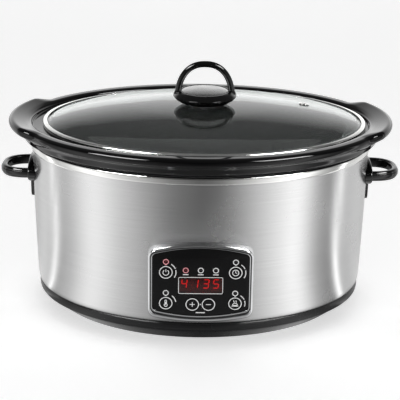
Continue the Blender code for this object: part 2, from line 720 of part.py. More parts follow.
def make_knob(parts, cutters, material):
    """Saucer-shaped knob with a loop over it, moulded in one."""
    seat = 226.9
    knob = turned("knob", [
        (0.0, seat), (24.7, seat), (24.9, seat + 1.5), (26.4, seat + 1.4), (29.8, seat - 0.9),
        (32.4, 224.2), (32.8, 223.1), (30.6, 220.2), (26.2, 217.3), (20.6, 215.4),
        (2.4, 215.4), (2.4, 222.0), (0.0, 222.0)], material, parts, (LID_SHIFT, 0.0, 0.0), 32)
    data = bpy.data.curves.new("knob_loop_path", "CURVE")
    data.dimensions = "3D"
    data.bevel_depth = 3.3 * MM
    data.bevel_resolution = 2
    data.use_fill_caps = True
    spline = data.splines.new("POLY")
    steps = 16
    foot_z, half_span = 222.0, 28.0
    rise = KNOB_TOP - 3.3 - foot_z
    spline.points.add(steps)
    for step, point in enumerate(spline.points):
        turn = math.pi * step / steps
        x = half_span * math.copysign(abs(math.cos(turn)) ** 0.86, math.cos(turn))
        z = foot_z + rise * math.sin(turn) ** 0.95
        point.co = (x * MM, 0.0, z * MM, 1.0)
    path = bpy.data.objects.new("knob_loop_path", data)
    path.location = (LID_SHIFT * MM, 0.0, 0.0)
    cutters.objects.link(path)
    bpy.context.view_layer.update()
    loop = as_cutter(curve_to_mesh(path, cutters))
    add_boolean(knob, "UNION", loop)


def make_knob_fixings(parts, steel, silicone, zinc):
    """The trim disc on top, and the gasket, washer and screw that hold the knob."""
    centre = (LID_SHIFT, 0.0, 0.0)
    turned("knob_trim_disc", [(0.0, 229.9), (10.0, 229.6), (18.0, 229.0), (23.6, 228.2),
                              (24.2, 227.7), (24.2, 227.2), (0.0, 227.2)], steel, parts, centre, 28)
    turned("knob_gasket", [(4.0, 215.1), (19.0, 215.1), (19.6, 214.7), (19.0, 214.3), (4.0, 214.3)],
           silicone, parts, centre, 24)
    under = GLASS_TOP - GLASS_THICKNESS
    turned("knob_washer", [(2.5, under - 0.4), (9.0, under - 0.4), (9.0, under - 1.5), (2.5, under - 1.5)],
           zinc, parts, centre, 20)
    screw = turned("knob_screw", screw_profile(4.6, 2.8, 2.0, 12.6), zinc, parts,
                   (LID_SHIFT, 0.0, under - 1.8), 16)
    screw.rotation_euler = (math.pi, 0.0, 0.0)


# ------------------------------------------------------------ the control panel

def make_panel_bezel(parts, material, trim):
    """Chrome frame whose back follows the wall, with a groove inside its round edge."""
    def ring(depth, share, corner):
        """A frame outline part of the way out from the fascia's opening."""
        return panel_ring(PANEL_FRONT + depth, GAP + BEZEL_SIDE * share, GAP + BEZEL_TOP * share,
                          GAP + BEZEL_BOTTOM * share, corner)
    rings = [
        ring(22.0, 0.0, 4.5), ring(0.9, 0.0, 4.5), ring(0.2, 0.08, 4.8), ring(0.2, 0.22, 5.2),
        ring(1.1, 0.27, 5.4), ring(1.1, 0.34, 5.6), ring(0.2, 0.4, 6.0), ring(0.0, 0.52, 6.6),
        ring(0.9, 0.82, 8.0), ring(3.0, 1.0, 9.0), ring(22.0, 1.0, 9.0),
    ]
    bezel = add_mesh("panel_bezel", loft(rings, closed=True), material, parts)
    add_boolean(bezel, "DIFFERENCE", trim)


def make_panel_carrier(parts, material):
    """Moulded tray that holds the control board behind the fascia."""
    front = FASCIA_BACK + GAP
    rings = [panel_ring(-129.5, -1.6), panel_ring(front, -1.6), panel_ring(front, -0.4),
             panel_ring(-127.8, -0.4)]
    add_mesh("panel_carrier", loft(rings), material, parts)


def make_panel_fascia(parts, cutters, material):
    """Gloss black front with holes for the buttons, the LEDs and the display."""
    plate = add_mesh("panel_fascia", loft([panel_ring(FASCIA_BACK), panel_ring(FASCIA_FRONT)]),
                     material, parts)
    holes = bmesh.new()
    for x, rise in BUTTONS.values():
        rod(holes, (x, -150.0, PANEL_Z + rise), (x, -135.0, PANEL_Z + rise), BUTTON_RADIUS + GAP, 20)
    for x, rise in LEDS.values():
        rod(holes, (x, -150.0, PANEL_Z + rise), (x, -135.0, PANEL_Z + rise), LED_RADIUS + GAP, 8)
    add_boolean(plate, "DIFFERENCE", as_cutter(add_mesh("fascia_hole_cutter", holes, None, cutters)))
    wide, tall = DISPLAY_SIZE
    middle = PANEL_Z + DISPLAY_RISE
    window = block("display_hole_cutter", (-wide / 2.0 - GAP, -150.0, middle - tall / 2.0 - GAP),
                   (wide / 2.0 + GAP, -135.0, middle + tall / 2.0 + GAP), None, cutters)
    add_boolean(plate, "DIFFERENCE", as_cutter(window))


def make_display(parts, window_material, module_material):
    """The tinted window and the four-digit module behind it."""
    wide, tall = DISPLAY_SIZE
    middle = PANEL_Z + DISPLAY_RISE
    block("display_window", (-wide / 2.0, FASCIA_FRONT + 0.1, middle - tall / 2.0),
          (wide / 2.0, FASCIA_BACK, middle + tall / 2.0), window_material, parts)
    block("display_module", (-wide / 2.0 + 1.0, FASCIA_BACK + 0.5, middle - tall / 2.0 + 1.0),
          (wide / 2.0 - 1.0, BOARD_FRONT - GAP, middle + tall / 2.0 - 1.0), module_material, parts)


def make_buttons(parts, material):
    """Push buttons whose origins lie on their lines of travel."""
    stem_end = BOARD_FRONT - GAP - BUTTON_TRAVEL
    front = FASCIA_FRONT - 0.3
    cap = FASCIA_BACK + 0.4 - front
    length = stem_end - front
    for name, (x, rise) in BUTTONS.items():
        turned(name, [(0.0, 0.0), (BUTTON_RADIUS - 0.4, 0.0), (BUTTON_RADIUS, -0.3),
                      (BUTTON_RADIUS, -cap), (2.2, -cap), (2.2, -length), (0.0, -length)],
               material, parts, (x, front, PANEL_Z + rise), 20, axis="-Y")


def make_leds(parts, lit, unlit):
    """Round-nosed LEDs that stand on the board and reach the fascia."""
    front = FASCIA_FRONT + 0.2
    length = BOARD_FRONT - GAP - front
    for name, (x, rise) in LEDS.items():
        turned(name, [(0.0, 0.0), (0.8, -0.2), (LED_RADIUS, -1.0), (LED_RADIUS, -length), (0.0, -length)],
               lit if name in ("led_power", "led_high") else unlit, parts,
               (x, front, PANEL_Z + rise), 8, axis="-Y")


def make_boards(parts, board, black):
    """The control board in the panel, and the power board and relay in the base."""
    block("control_board", (-42.0, BOARD_FRONT, PANEL_Z - 25.0), (42.0, BOARD_BACK, PANEL_Z + 25.0),
          board, parts)
    x, y = POWER_BOARD_AT
    wide, deep = POWER_BOARD_SIZE
    top = POWER_BOARD_Z + 1.6
    block("power_board", (x - wide / 2.0, y - deep / 2.0, POWER_BOARD_Z),
          (x + wide / 2.0, y + deep / 2.0, top), board, parts)
    relay = block("relay", (x + 4.0, y - 10.0, top + GAP), (x + 23.0, y + 6.0, top + 15.5), black, parts)
    add_bevel(relay, 0.8, 2)


def make_ribbon_cable(parts, cutters, material):
    """A flat cable from behind the control panel down and back to the power board."""
    thick, wide = 0.9, 18.0
    route = [(-126.6, 60.0), (-126.6, 36.0), (-124.5, 27.0), (-117.0, 21.5), (-104.0, 19.6),
             (-60.0, 19.0), (-36.0, 18.4), (-28.0, 16.8)]
    route = [Vector(point) for point in route]
    sides = ([], [])
    for index, point in enumerate(route):
        ahead = route[min(index + 1, len(route) - 1)] - route[max(index - 1, 0)]
        across = Vector((-ahead.y, ahead.x)).normalized() * thick / 2.0
        sides[0].append(tuple(point + across))
        sides[1].append(tuple(point - across))
    strip = flat_outline("ribbon_outline", [sides[0] + sides[1][::-1]], wide, cutters)
    strip.matrix_world = Matrix.Translation((POWER_BOARD_AT[0] * 0.6 * MM, 0.0, 0.0)) @ Matrix((
        (0, 0, 1, 0), (1, 0, 0, 0), (0, 1, 0, 0), (0, 0, 0, 1)))
    bpy.context.view_layer.update()
    cable = curve_to_mesh(strip, parts)
    cable.name = "ribbon_cable"
    cable.data.materials.clear()
    cable.data.materials.append(material)


def make_cord_gland(parts, material):
    """The bush in the back wall that the mains cord would pass through."""
    turned("cord_gland", [(3.6, 4.6), (6.6, 4.6), (8.0, 3.6), (11.0, 1.6), (11.0, 0.0), (8.0, 0.0),
                          (8.0, -5.0), (3.6, -5.0)], material, parts,
           (0.0, 134.9, INLET_Z), 20, axis="Y")


# --------------------------------------------------------------------- build

def main():
    """Builds every piece."""
    clear_scene()
    parts = new_collection("slow_cooker")
    cutters = new_collection("slow_cooker_cutters")
    brushed = new_material("brushed_steel", (0.62, 0.62, 0.61), 0.32, 1.0)
    polished = new_material("polished_steel", (0.75, 0.75, 0.75), 0.12, 1.0)
    chrome = new_material("chrome_plating", (0.80, 0.80, 0.81), 0.08, 1.0)
    aluminised = new_material("aluminised_steel", (0.45, 0.46, 0.47), 0.45, 1.0)
    zinc = new_material("zinc_plated_steel", (0.55, 0.56, 0.57), 0.35, 1.0)
    glaze = new_material("black_glazed_stoneware", (0.012, 0.012, 0.012), 0.10)
    phenolic = new_material("black_phenolic", (0.012, 0.012, 0.012), 0.18)
    base_plastic = new_material("black_base_plastic", (0.02, 0.02, 0.021), 0.3)
    fascia = new_material("black_fascia", (0.01, 0.01, 0.01), 0.2)
    tinted = new_material("tinted_window", (0.10, 0.01, 0.01), 0.15, 0.0, 0.6)
    glass = new_material("tempered_glass", (0.85, 0.88, 0.87), 0.03, 0.0, 0.3)
    rubber = new_material("rubber", (0.02, 0.02, 0.02), 0.8)
    silicone = new_material("silicone", (0.3, 0.3, 0.3), 0.6)
    board = new_material("circuit_board", (0.02, 0.12, 0.05), 0.5)
    lit = new_material("red_led", (0.7, 0.03, 0.02), 0.3)
    unlit = new_material("clear_led", (0.25, 0.25, 0.25), 0.3)
    ceramic = new_material("white_ceramic", (0.8, 0.78, 0.72), 0.5)
    mica = new_material("mica_heater", (0.35, 0.28, 0.18), 0.6)
    pan_paint = new_material("pan_paint", (0.03, 0.03, 0.03), 0.5)
    grey_cable = new_material("grey_cable", (0.35, 0.35, 0.36), 0.6)

    trim = shell_solid("wall_trim_cutter", GAP, cutters)
    make_outer_shell(parts, cutters, brushed)
    make_top_rim_ring(parts, polished)
    make_base_ring(parts, base_plastic)
    make_bottom_plate(parts, cutters, zinc)
    make_feet(parts, rubber, zinc)
    make_heating_pan(parts, pan_paint)
    make_heating_band(parts, mica)
    make_heat_shield(parts, aluminised)
    make_pan_bracket(parts, cutters, zinc)
    make_centre_bolt(parts, zinc)
    make_sensors(parts, aluminised, ceramic)
    for side in (-1.0, 1.0):
        make_side_handle(side, parts, cutters, phenolic, trim)
        make_handle_fixings(side, parts, cutters, zinc, zinc)
    make_crock(parts, glaze)
    make_lid_glass(parts, cutters, glass)
    make_lid_rim_band(parts, polished)
    make_vent_eyelet(parts, polished)
    make_knob(parts, cutters, phenolic)
    make_knob_fixings(parts, polished, silicone, zinc)
    make_panel_bezel(parts, chrome, trim)
    make_panel_carrier(parts, base_plastic)
    make_panel_fascia(parts, cutters, fascia)
    make_display(parts, tinted, base_plastic)
    make_buttons(parts, fascia)
    make_leds(parts, lit, unlit)
    make_boards(parts, board, base_plastic)
    make_ribbon_cable(parts, cutters, grey_cable)
    make_cord_gland(parts, base_plastic)


main()
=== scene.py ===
import math

import bmesh
import bpy
from bpy.props import FloatProperty, FloatVectorProperty, PointerProperty, StringProperty
from mathutils import Matrix, Vector


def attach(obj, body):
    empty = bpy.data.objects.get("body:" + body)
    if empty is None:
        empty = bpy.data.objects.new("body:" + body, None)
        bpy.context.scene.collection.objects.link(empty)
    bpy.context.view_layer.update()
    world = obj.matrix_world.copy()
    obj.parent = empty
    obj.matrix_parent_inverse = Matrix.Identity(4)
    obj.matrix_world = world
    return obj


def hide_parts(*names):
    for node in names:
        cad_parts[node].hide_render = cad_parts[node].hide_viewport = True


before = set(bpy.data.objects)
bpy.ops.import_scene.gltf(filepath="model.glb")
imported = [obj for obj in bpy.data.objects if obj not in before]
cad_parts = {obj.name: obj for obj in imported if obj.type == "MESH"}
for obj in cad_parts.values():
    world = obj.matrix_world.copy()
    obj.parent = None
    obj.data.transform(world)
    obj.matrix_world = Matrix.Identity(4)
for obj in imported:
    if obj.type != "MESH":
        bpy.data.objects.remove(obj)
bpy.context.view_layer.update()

bl_info = {
    "name": "Slow Cooker Finish",
    "version": (1, 0, 0),
    "blender": (4, 5, 0),
    "location": "3D View > Sidebar > Slow Cooker",
    "description": "Builds the fine shapes and surfaces of an oval electric slow cooker over its frame",
    "category": "Object",
}

MM = 0.001
MERGE = 0.0005 * MM          # vertices closer than this are one
GAP = 0.3                    # clearance between touching pieces
OVAL_SIDES = 224             # sides of the large ovals

# All sizes are in millimetres above the table or from the middle, as in the frame.
SHELL_TOP_OVAL = (176.4, 135.4)
BAND_OVAL = (172.2, 135.7)
SKIRT_OVAL = (152.2, 119.2)
PLATE_OVAL = (147.2, 114.2)
CROCK_RIM_OVAL = (190.1, 149.0)
LID_OVAL = (168.4, 128.5)
RIM_TOP = 177.4
PAN_TOP = 179.0
LEDGE_Z = 192.9
CROCK_TOP = 199.0
EAR_REACH = 10.0             # how far the crock's lifting ears stand out
EAR_LIFT = 3.4               # and how far they rise above the rest of the rim
LID_SHIFT = 3.8              # the lid lies a little to the right in its loose seat

WALL_RINGS = [
    (171.6, 132.6, 25.3), (172.7, 133.3, 28.0), (173.4, 133.7, 33.0), (174.0, 134.0, 50.0),
    (175.6, 134.9, 107.5), (*SHELL_TOP_OVAL, 168.0),
]
SHELL_TOP = 175.6

GLASS_RINGS = [
    (167.4, 127.5, 196.6), (163.0, 123.3, 197.0), (157.0, 118.0, 199.4), (138.0, 103.5, 204.2),
    (108.0, 80.0, 208.8), (72.0, 53.0, 212.1), (34.0, 26.0, 213.6), (5.0, 5.0, 213.9),
]
VENT_AT = (106.0, 22.0)

PANEL_FRONT = -144.0
FASCIA_FRONT = -143.6
FASCIA_BACK = -141.6
PANEL_Z = 73.4
BUTTON_RADIUS = 7.1
BUTTONS = {
    "button_power": (-33.8, 10.5),
    "button_temperature": (-33.8, -22.0),
    "button_plus": (-7.9, -23.2),
    "button_minus": (7.9, -23.2),
    "button_delay": (33.8, 10.5),
    "button_keep_warm": (33.8, -22.0),
}
LEDS = {
    "led_power": (-33.8, 21.4),
    "led_temperature": (-33.8, -11.2),
    "led_high": (-14.6, 12.6),
    "led_low": (0.0, 12.6),
    "led_warm": (14.6, 12.6),
    "led_delay": (33.8, 21.4),
    "led_keep_warm": (33.8, -11.2),
}
LIT_LEDS = ("led_power", "led_high")
DISPLAY_HALF = (22.2, 9.3)
DISPLAY_Z = PANEL_Z - 3.3
BOARD_FRONT = -133.4         # the control board, which the lamps and stems stop short of
FRAME_WIDTH = (4.3, 3.5, 8.0)    # of the panel's frame, at its sides, top and bottom
PRINT_THICK = 0.08
PRESS = 0.6                  # travel of a button

HANDLE_Z = 144.2
HANDLE_TIP = 210.0
HANDLE_FACE = 179.5
HANDLE_BAR = 7.2
HANDLE_HALF_SPAN = 28.0
HANDLE_SCREW_Y = 14.0

KNOB_TOP = 259.5
BAR_RADIUS = 3.3             # of the knob's loop
INLET_Z = 47.0
FOOT_AT = (98.0, 58.0)


def linear(code):
    """The linear colour of a six-digit sRGB hex value."""
    parts = [((code >> shift) & 255) / 255.0 for shift in (16, 8, 0)]
    return tuple(p / 12.92 if p <= 0.04045 else ((p + 0.055) / 1.055) ** 2.4 for p in parts)


# ------------------------------------------------------------------- settings

def colour_property(name, description, code):
    """A colour that the user may change, from its sRGB hex value."""
    return FloatVectorProperty(name=name, description=description, subtype="COLOR",
                               size=3, min=0.0, max=1.0, default=linear(code))


def length_property(name, description, millimetres):
    """A length that the user may change."""
    return FloatProperty(name=name, description=description, subtype="DISTANCE", unit="LENGTH",
                         min=0.00001, default=millimetres * MM)


class HousingSettings(bpy.types.PropertyGroup):
    """Colours and textures of the housing."""

    steel: colour_property("Steel", "Colour of the brushed wall", 0xD1D1D1)
    plastic: colour_property("Plastic", "Colour of the moulded base", 0x1B1B1C)
    brush_line: length_property("Brush line", "Height of one brushed line on the wall", 0.6)
    texture_grain: length_property("Moulded grain", "Grain of the moulded base", 0.8)


class VesselSettings(bpy.types.PropertyGroup):
    """Colours of the crock, the lid, the knob and the handles."""

    glaze: colour_property("Glaze", "Colour of the fired glaze", 0x070708)
    glass: colour_property("Glass", "Tint of the lid", 0xF4FAF8)
    phenolic: colour_property("Phenolic", "Colour of the knob and handles", 0x070707)
    glaze_ripple: length_property("Glaze ripple", "Width of the ripples in the glaze", 14.0)


class PanelSettings(bpy.types.PropertyGroup):
    """Colours, marks and digits of the control panel."""

    fascia: colour_property("Fascia", "Colour of the gloss front", 0x101011)
    print_colour: colour_property("Print", "Colour of the printed marks", 0xF7F7F7)
    lit: colour_property("Lit", "Colour of the lit digits", 0xFF2A22)
    digits: StringProperty(name="Digits", description="The four digits shown", default="4135", maxlen=4)
    line: length_property("Printed line", "Width of the printed rings", 0.85)
    glow: FloatProperty(name="Glow", description="Strength of the lit digits", min=0.0, default=1.3)


class StageSettings(bpy.types.PropertyGroup):
    """The floor and the lights."""

    floor: colour_property("Floor", "Colour of the floor and backdrop", 0xF6F6F6)
    brightness: FloatProperty(name="Brightness", description="Strength of all the lights", min=0.0,
                              default=1.0)


# ------------------------------------------------------------------ materials

def add_node(tree, kind, inputs=None, **settings):
    """Adds a node; inputs maps a socket's name or number to a value or another socket."""
    made = tree.nodes.new(kind)
    for key, value in settings.items():
        setattr(made, key, value)
    for key, value in (inputs or {}).items():
        if isinstance(value, bpy.types.NodeSocket):
            tree.links.new(value, made.inputs[key])
        else:
            made.inputs[key].default_value = value
    return made


def surface(name, colour, shade, roughness, grain, cloud, height=0.0, sockets=None):
    """A finish whose fine noise and broad cloud follow real sizes in millimetres.

    The fine noise, of one grain or of three along X, Y and Z, mixes the colour with the
    same colour times shade, and lifts the surface by height. The cloud, such as faint
    handling marks, moves the roughness between its two values; it may be left out with 0.
    """
    made = bpy.data.materials.get(name)
    if made:
        return made
    made = bpy.data.materials.new(name)
    made.use_nodes = True
    tree = made.node_tree
    shader = tree.nodes["Principled BSDF"]
    sizes = grain if isinstance(grain, tuple) else (grain,) * 3
    place = add_node(tree, "ShaderNodeTexCoord").outputs["Object"]
    stretched = add_node(tree, "ShaderNodeMapping", {
        "Vector": place, "Scale": [1.0 / (size * MM) for size in sizes]})
    fine = add_node(tree, "ShaderNodeTexNoise", {
        "Vector": stretched.outputs["Vector"], "Scale": 1.0, "Detail": 4.0, "Roughness": 0.6})
    share = add_node(tree, "ShaderNodeMapRange", {
        "Value": fine.outputs[0], "From Min": 0.3, "From Max": 0.7})
    tones = add_node(tree, "ShaderNodeMix", {
        0: share.outputs[0], 6: (*[part * shade for part in colour], 1.0), 7: (*colour, 1.0)},
        data_type="RGBA")
    tree.links.new(tones.outputs[2], shader.inputs["Base Color"])
    shader.inputs["Roughness"].default_value = roughness[0]
    if cloud:
        broad = add_node(tree, "ShaderNodeTexNoise", {
            "Vector": place, "Scale": 1.0 / (cloud * MM), "Detail": 3.0})
        gloss = add_node(tree, "ShaderNodeMapRange", {
            "Value": broad.outputs[0], "From Min": 0.3, "From Max": 0.7,
            "To Min": roughness[0], "To Max": roughness[1]})
        tree.links.new(gloss.outputs[0], shader.inputs["Roughness"])
    if height:
        bump = add_node(tree, "ShaderNodeBump", {
            "Height": fine.outputs[0], "Distance": height * MM, "Strength": 1.0})
        tree.links.new(bump.outputs[0], shader.inputs["Normal"])
    for key, value in (sockets or {}).items():
        shader.inputs[key].default_value = value
    made.diffuse_color = (*colour, 1.0)
    return made


METAL = {"Metallic": 1.0}

# Each finish: colour, share of it left in the darker grain, lowest and highest roughness,
# grain and cloud (mm), height of the relief (mm), further sockets.
FINISHES = {
    # Rolled stainless strip, buffed: bright, with faint lines left by the rollers.
    "buffed_stainless_steel": (0xF0F0EE, 0.86, (0.10, 0.17), (40.0, 40.0, 0.5), 30.0, 0.0015, METAL),
    # Stainless disc spun on a lathe and left satin: its shine is broad and soft.
    "satin_spun_steel": (0x9A9A9A, 0.94, (0.22, 0.30), 1.6, 14.0, 0.0001, METAL),
    # Chrome plated on moulded plastic: mirror bright with a slight waviness.
    "chrome_plated_plastic": (0xE6E7E8, 0.96, (0.04, 0.08), 9.0, 20.0, 0.003, METAL),
    # Zinc-plated pressed steel: dull, mottled, faintly blue.
    "zinc_plated_steel_sheet": (0xB4B8BE, 0.78, (0.30, 0.46), 3.5, 12.0, 0.004, METAL),
    # Steel sheet dipped in aluminium: pale and soft, with a cloudy bloom.
    "aluminised_steel_sheet": (0xA9ABAD, 0.72, (0.34, 0.5), 5.0, 18.0, 0.004, METAL),
    # Grey-black enamel sprayed on the heating pan: slight orange peel and speckle.
    "sprayed_pan_enamel": (0x4A4B4D, 0.72, (0.28, 0.42), 1.6, 40.0, 0.03, {"IOR": 1.5}),
    # Moulded rubber: matt, faintly dusty.
    "moulded_foot_rubber": (0x232324, 0.75, (0.62, 0.8), 1.0, 8.0, 0.02, {}),
    # Moulded silicone washer: pale grey, soft and matt.
    "moulded_grey_silicone": (0x8B8C8E, 0.85, (0.5, 0.65), 1.2, 6.0, 0.01, {}),
    # Injection-moulded nylon housings: satin black, finely grained.
    "moulded_black_nylon": (0x1A1A1B, 0.75, (0.4, 0.55), 0.7, 12.0, 0.01, {}),
    # Flat cable of wires side by side in PVC: grey, ribbed along its run.
    "ribbed_grey_pvc": (0x9A9B9D, 0.5, (0.4, 0.55), (1.2, 60.0, 60.0), 20.0, 0.2, {}),
    # Solder mask on a glass-fibre board: glossy green, with the weave just showing.
    "green_solder_mask": (0x1E5A34, 0.55, (0.22, 0.36), (1.4, 1.4, 9.0), 8.0, 0.02, {"IOR": 1.5}),
    # Mica tape wound round the heating wire: tan, flaky and mottled.
    "mica_heating_tape": (0xB39A6B, 0.6, (0.35, 0.6), (2.0, 2.0, 0.8), 7.0, 0.03, {}),
    # Fired ceramic: off-white, dry and faintly pitted.
    "fired_white_ceramic": (0xE8E4DA, 0.88, (0.35, 0.5), 0.8, 4.0, 0.01, {}),
    # White screen ink lit pink by the lamp that shines through it.
    "lit_pink_ink": (0xE3A3AA, 0.8, (0.42, 0.55), 0.35, 6.0, 0.003, {
        "Emission Color": (*linear(0xFF5A5C), 1.0), "Emission Strength": 0.12}),
    # Diffused red lamp lens, on: glows evenly under a glossy moulded dome.
    "lit_red_lens": (0x521318, 0.75, (0.15, 0.25), 1.2, 4.0, 0.0, {
        "Emission Color": (*linear(0xC05058), 1.0), "Emission Strength": 0.06}),
    # The same lens, off: smoky and glossy.
    "unlit_smoked_lens": (0x2E2A2B, 0.7, (0.12, 0.22), 1.2, 4.0, 0.0, {"IOR": 1.5}),
    # Smoked red polycarbonate over the digits: dark, glossy, and clear to red light.
    "smoked_red_polycarbonate": (0xA83A38, 0.92, (0.03, 0.07), 5.0, 15.0, 0.0, {
        "IOR": 1.58, "Transmission Weight": 1.0}),
    # Filter film on the digit module: a dull dark red ground.
    "dark_red_filter": (0x4A1416, 0.8, (0.3, 0.4), 3.0, 9.0, 0.0, {}),
    # The bars of the digits that are off: barely lighter than their ground.
    "unlit_red_digits": (0x5A1A1C, 0.85, (0.4, 0.5), 1.0, 5.0, 0.0, {}),
}


def finish(name):
    """The finish of that name in the table above."""
    code, *rest = FINISHES[name]
    return surface(name, linear(code), *rest)


def brushed_steel():
    """Stainless sheet brushed along its length before it was rolled round.

    The lines stretch every reflection up and down, so the wall reads as soft upright
    bands. Real lines are about 0.1 mm high; these are drawn coarser so that they show.
    """
    settings = bpy.context.scene.slow_cooker_housing
    made = surface("brushed_stainless_steel", settings.steel, 0.93, (0.22, 0.29),
                   (90.0, 90.0, settings.brush_line / MM), 45.0, 0.0009,
                   {"Metallic": 1.0, "Anisotropic": 0.72, "Anisotropic Rotation": 0.25})
    tree = made.node_tree
    shader = tree.nodes["Principled BSDF"]
    if not shader.inputs["Tangent"].is_linked:
        along = add_node(tree, "ShaderNodeTangent", direction_type="RADIAL", axis="Z")
        tree.links.new(along.outputs[0], shader.inputs["Tangent"])
    return made


def phenolic():
    """Compression-moulded phenolic resin, tumbled to a deep gloss with faint flow marks."""
    return surface("moulded_black_phenolic", bpy.context.scene.slow_cooker_vessel.phenolic, 0.55,
                   (0.03, 0.07), 9.0, 16.0, 0.004, {"IOR": 1.55, "Specular IOR Level": 0.4})


def glaze():
    """Black glaze fired on stoneware: glassy, gently rippled where it flowed."""
    settings = bpy.context.scene.slow_cooker_vessel
    return surface("fired_black_glaze", settings.glaze, 0.5, (0.03, 0.07),
                   settings.glaze_ripple / MM, 35.0, 0.006,
                   {"IOR": 1.52, "Specular IOR Level": 0.3})


def tempered_glass():
    """Clear tempered glass: a faint green body under a clean, perfectly smooth face."""
    return surface("clear_tempered_glass", bpy.context.scene.slow_cooker_vessel.glass, 0.985,
                   (0.0, 0.0), 30.0, 0.0, 0.0, {"IOR": 1.5, "Transmission Weight": 0.98})


def base_plastic():
    """Injection-moulded polypropylene: satin, from a finely grained tool."""
    settings = bpy.context.scene.slow_cooker_housing
    return surface("moulded_black_polypropylene", settings.plastic, 0.8, (0.20, 0.30),
                   settings.texture_grain / MM, 50.0, 0.006,
                   {"IOR": 1.49, "Specular IOR Level": 0.35})


def fascia_gloss():
    """Gloss black acrylic front: near mirror, with faint finger marks in the gloss."""
    return surface("gloss_black_acrylic", bpy.context.scene.slow_cooker_panel.fascia, 0.8,
                   (0.05, 0.14), 2.5, 12.0, 0.0, {"IOR": 1.49, "Specular IOR Level": 0.3})


def printed_ink():
    """White screen ink on acrylic: matt, thin at its edges, with the mesh's fine grain."""
    return surface("white_screen_ink", bpy.context.scene.slow_cooker_panel.print_colour, 0.88,
                   (0.42, 0.58), 0.35, 6.0, 0.003)


# --------------------------------------------------------------- shape helpers

def rounded(points, radius, closed=False, steps=4):
    """The same outline with every corner cut back by up to radius and rounded."""
    made = []
    count = len(points)
    for index in range(count):
        corner = Vector(points[index])
        if not closed and index in (0, count - 1):
            made.append(tuple(corner))
            continue
        ends = []
        for other in (Vector(points[index - 1]), Vector(points[(index + 1) % count])):
            ends.append(corner.lerp(other, min(radius / max((other - corner).length, 1e-6), 0.45)))
        for step in range(steps + 1):
            share = step / steps
            made.append(tuple(ends[0].lerp(corner, share).lerp(corner.lerp(ends[1], share), share)))
    return made


def smoothed(points, steps):
    """Points along a smooth line through the given ones."""
    made = []
    points = [Vector(point) for point in points]
    last = len(points) - 1
    for index in range(last):
        a, b, c, d = (points[min(max(index + i, 0), last)] for i in (-1, 0, 1, 2))
        for step in range(steps):
            t = step / steps
            made.append(tuple(0.5 * (2.0 * b + (c - a) * t + (2.0 * a - 5.0 * b + 4.0 * c - d) * t ** 2
                                     + (3.0 * b - a - 3.0 * c + d) * t ** 3)))
    return made + [tuple(points[-1])]


def outward(bm):
    """Turns every face of a closed mesh outwards."""
    bmesh.ops.recalc_face_normals(bm, faces=bm.faces)
    if bm.calc_volume(signed=True) < 0.0:
        bmesh.ops.reverse_faces(bm, faces=bm.faces)
    return bm


def extruded(bm, loop):
    """Extrudes a closed loop of vertices, and gives the new ones in the same order."""
    edges = [bm.edges.get(pair) for pair in zip(loop, loop[1:] + loop[:1])]
    made = bmesh.ops.extrude_edge_only(bm, edges=edges)["geom"]
    fresh = {item for item in made if isinstance(item, bmesh.types.BMVert)}
    return [next(edge.other_vert(vert) for edge in vert.link_edges
                 if edge.other_vert(vert) in fresh) for vert in loop]


def skin(rings, closed=False):
    """A skin through rings of points (mm); its ends are capped, or joined if closed."""
    bm = bmesh.new()
    loop = first = bmesh.ops.create_circle(bm, segments=len(rings[0]), radius=1.0)["verts"]
    for index, ring in enumerate(rings + (rings[:1] if closed else [])):
        if index:
            loop = extruded(bm, loop)
        for vert, point in zip(loop, ring):
            vert.co = Vector(point) * MM
    if closed:
        bmesh.ops.remove_doubles(bm, verts=bm.verts, dist=MERGE)
    else:
        bm.faces.new(first)
        bm.faces.new(loop)
    return outward(bm)


def ear_share(turn):
    """How much of a lifting ear there is at an angle round the crock, from none to 1."""
    from_end = math.degrees(abs(math.atan2(math.sin(turn), abs(math.cos(turn)))))
    share = min(max((28.5 - from_end) / 5.0, 0.0), 1.0)
    return share * share * (3.0 - 2.0 * share)


def oval_skin(rings, closed=False, centre_x=0.0, sides=OVAL_SIDES):
    """A skin through oval rings, each (half x, half y, z) and perhaps an ear share."""
    outlines = []
    for ring in rings:
        half_x, half_y, height = ring[:3]
        ear = ring[3] if len(ring) > 3 else 0.0
        outline = []
        for step in range(sides):
            turn = 2.0 * math.pi * step / sides
            share = ear * ear_share(turn) if ear else 0.0
            x = half_x * math.cos(turn)
            x += math.copysign(share * EAR_REACH, x)
            outline.append((centre_x + x, half_y * math.sin(turn), height + share * EAR_LIFT))
        outlines.append(outline)
    return skin(outlines, closed)


def swept(path, section, closed=False):
    """A skin along flat points; section makes a ring from a point and the way across it."""
    path = [Vector(point) for point in path]
    last = len(path) - 1
    rings = []
    for index, point in enumerate(path):
        if closed:
            ahead, behind = path[(index + 1) % (last + 1)], path[index - 1]
        else:
            ahead, behind = path[min(index + 1, last)], path[max(index - 1, 0)]
        along = (ahead - behind).normalized()
        rings.append(section(point, Vector((-along.y, along.x))))
    return skin(rings, closed)


def turned(profile, sides, matrix):
    """A solid spun about Z from (radius, z) points in mm, then laid by the matrix."""
    bm = bmesh.new()
    verts = [bm.verts.new((radius * MM, 0.0, height * MM)) for radius, height in profile]
    chain = list(zip(verts, verts[1:]))
    if min(radius for radius, _ in profile) > 0.0:
        chain.append((verts[-1], verts[0]))
    edges = [bm.edges.new(pair) for pair in chain]
    bmesh.ops.spin(bm, geom=verts + edges, cent=(0.0, 0.0, 0.0), axis=(0.0, 0.0, 1.0),
                   angle=2.0 * math.pi, steps=sides, use_merge=True)
    bmesh.ops.remove_doubles(bm, verts=bm.verts, dist=MERGE)
    bmesh.ops.transform(outward(bm), matrix=matrix, verts=bm.verts)
    return bm


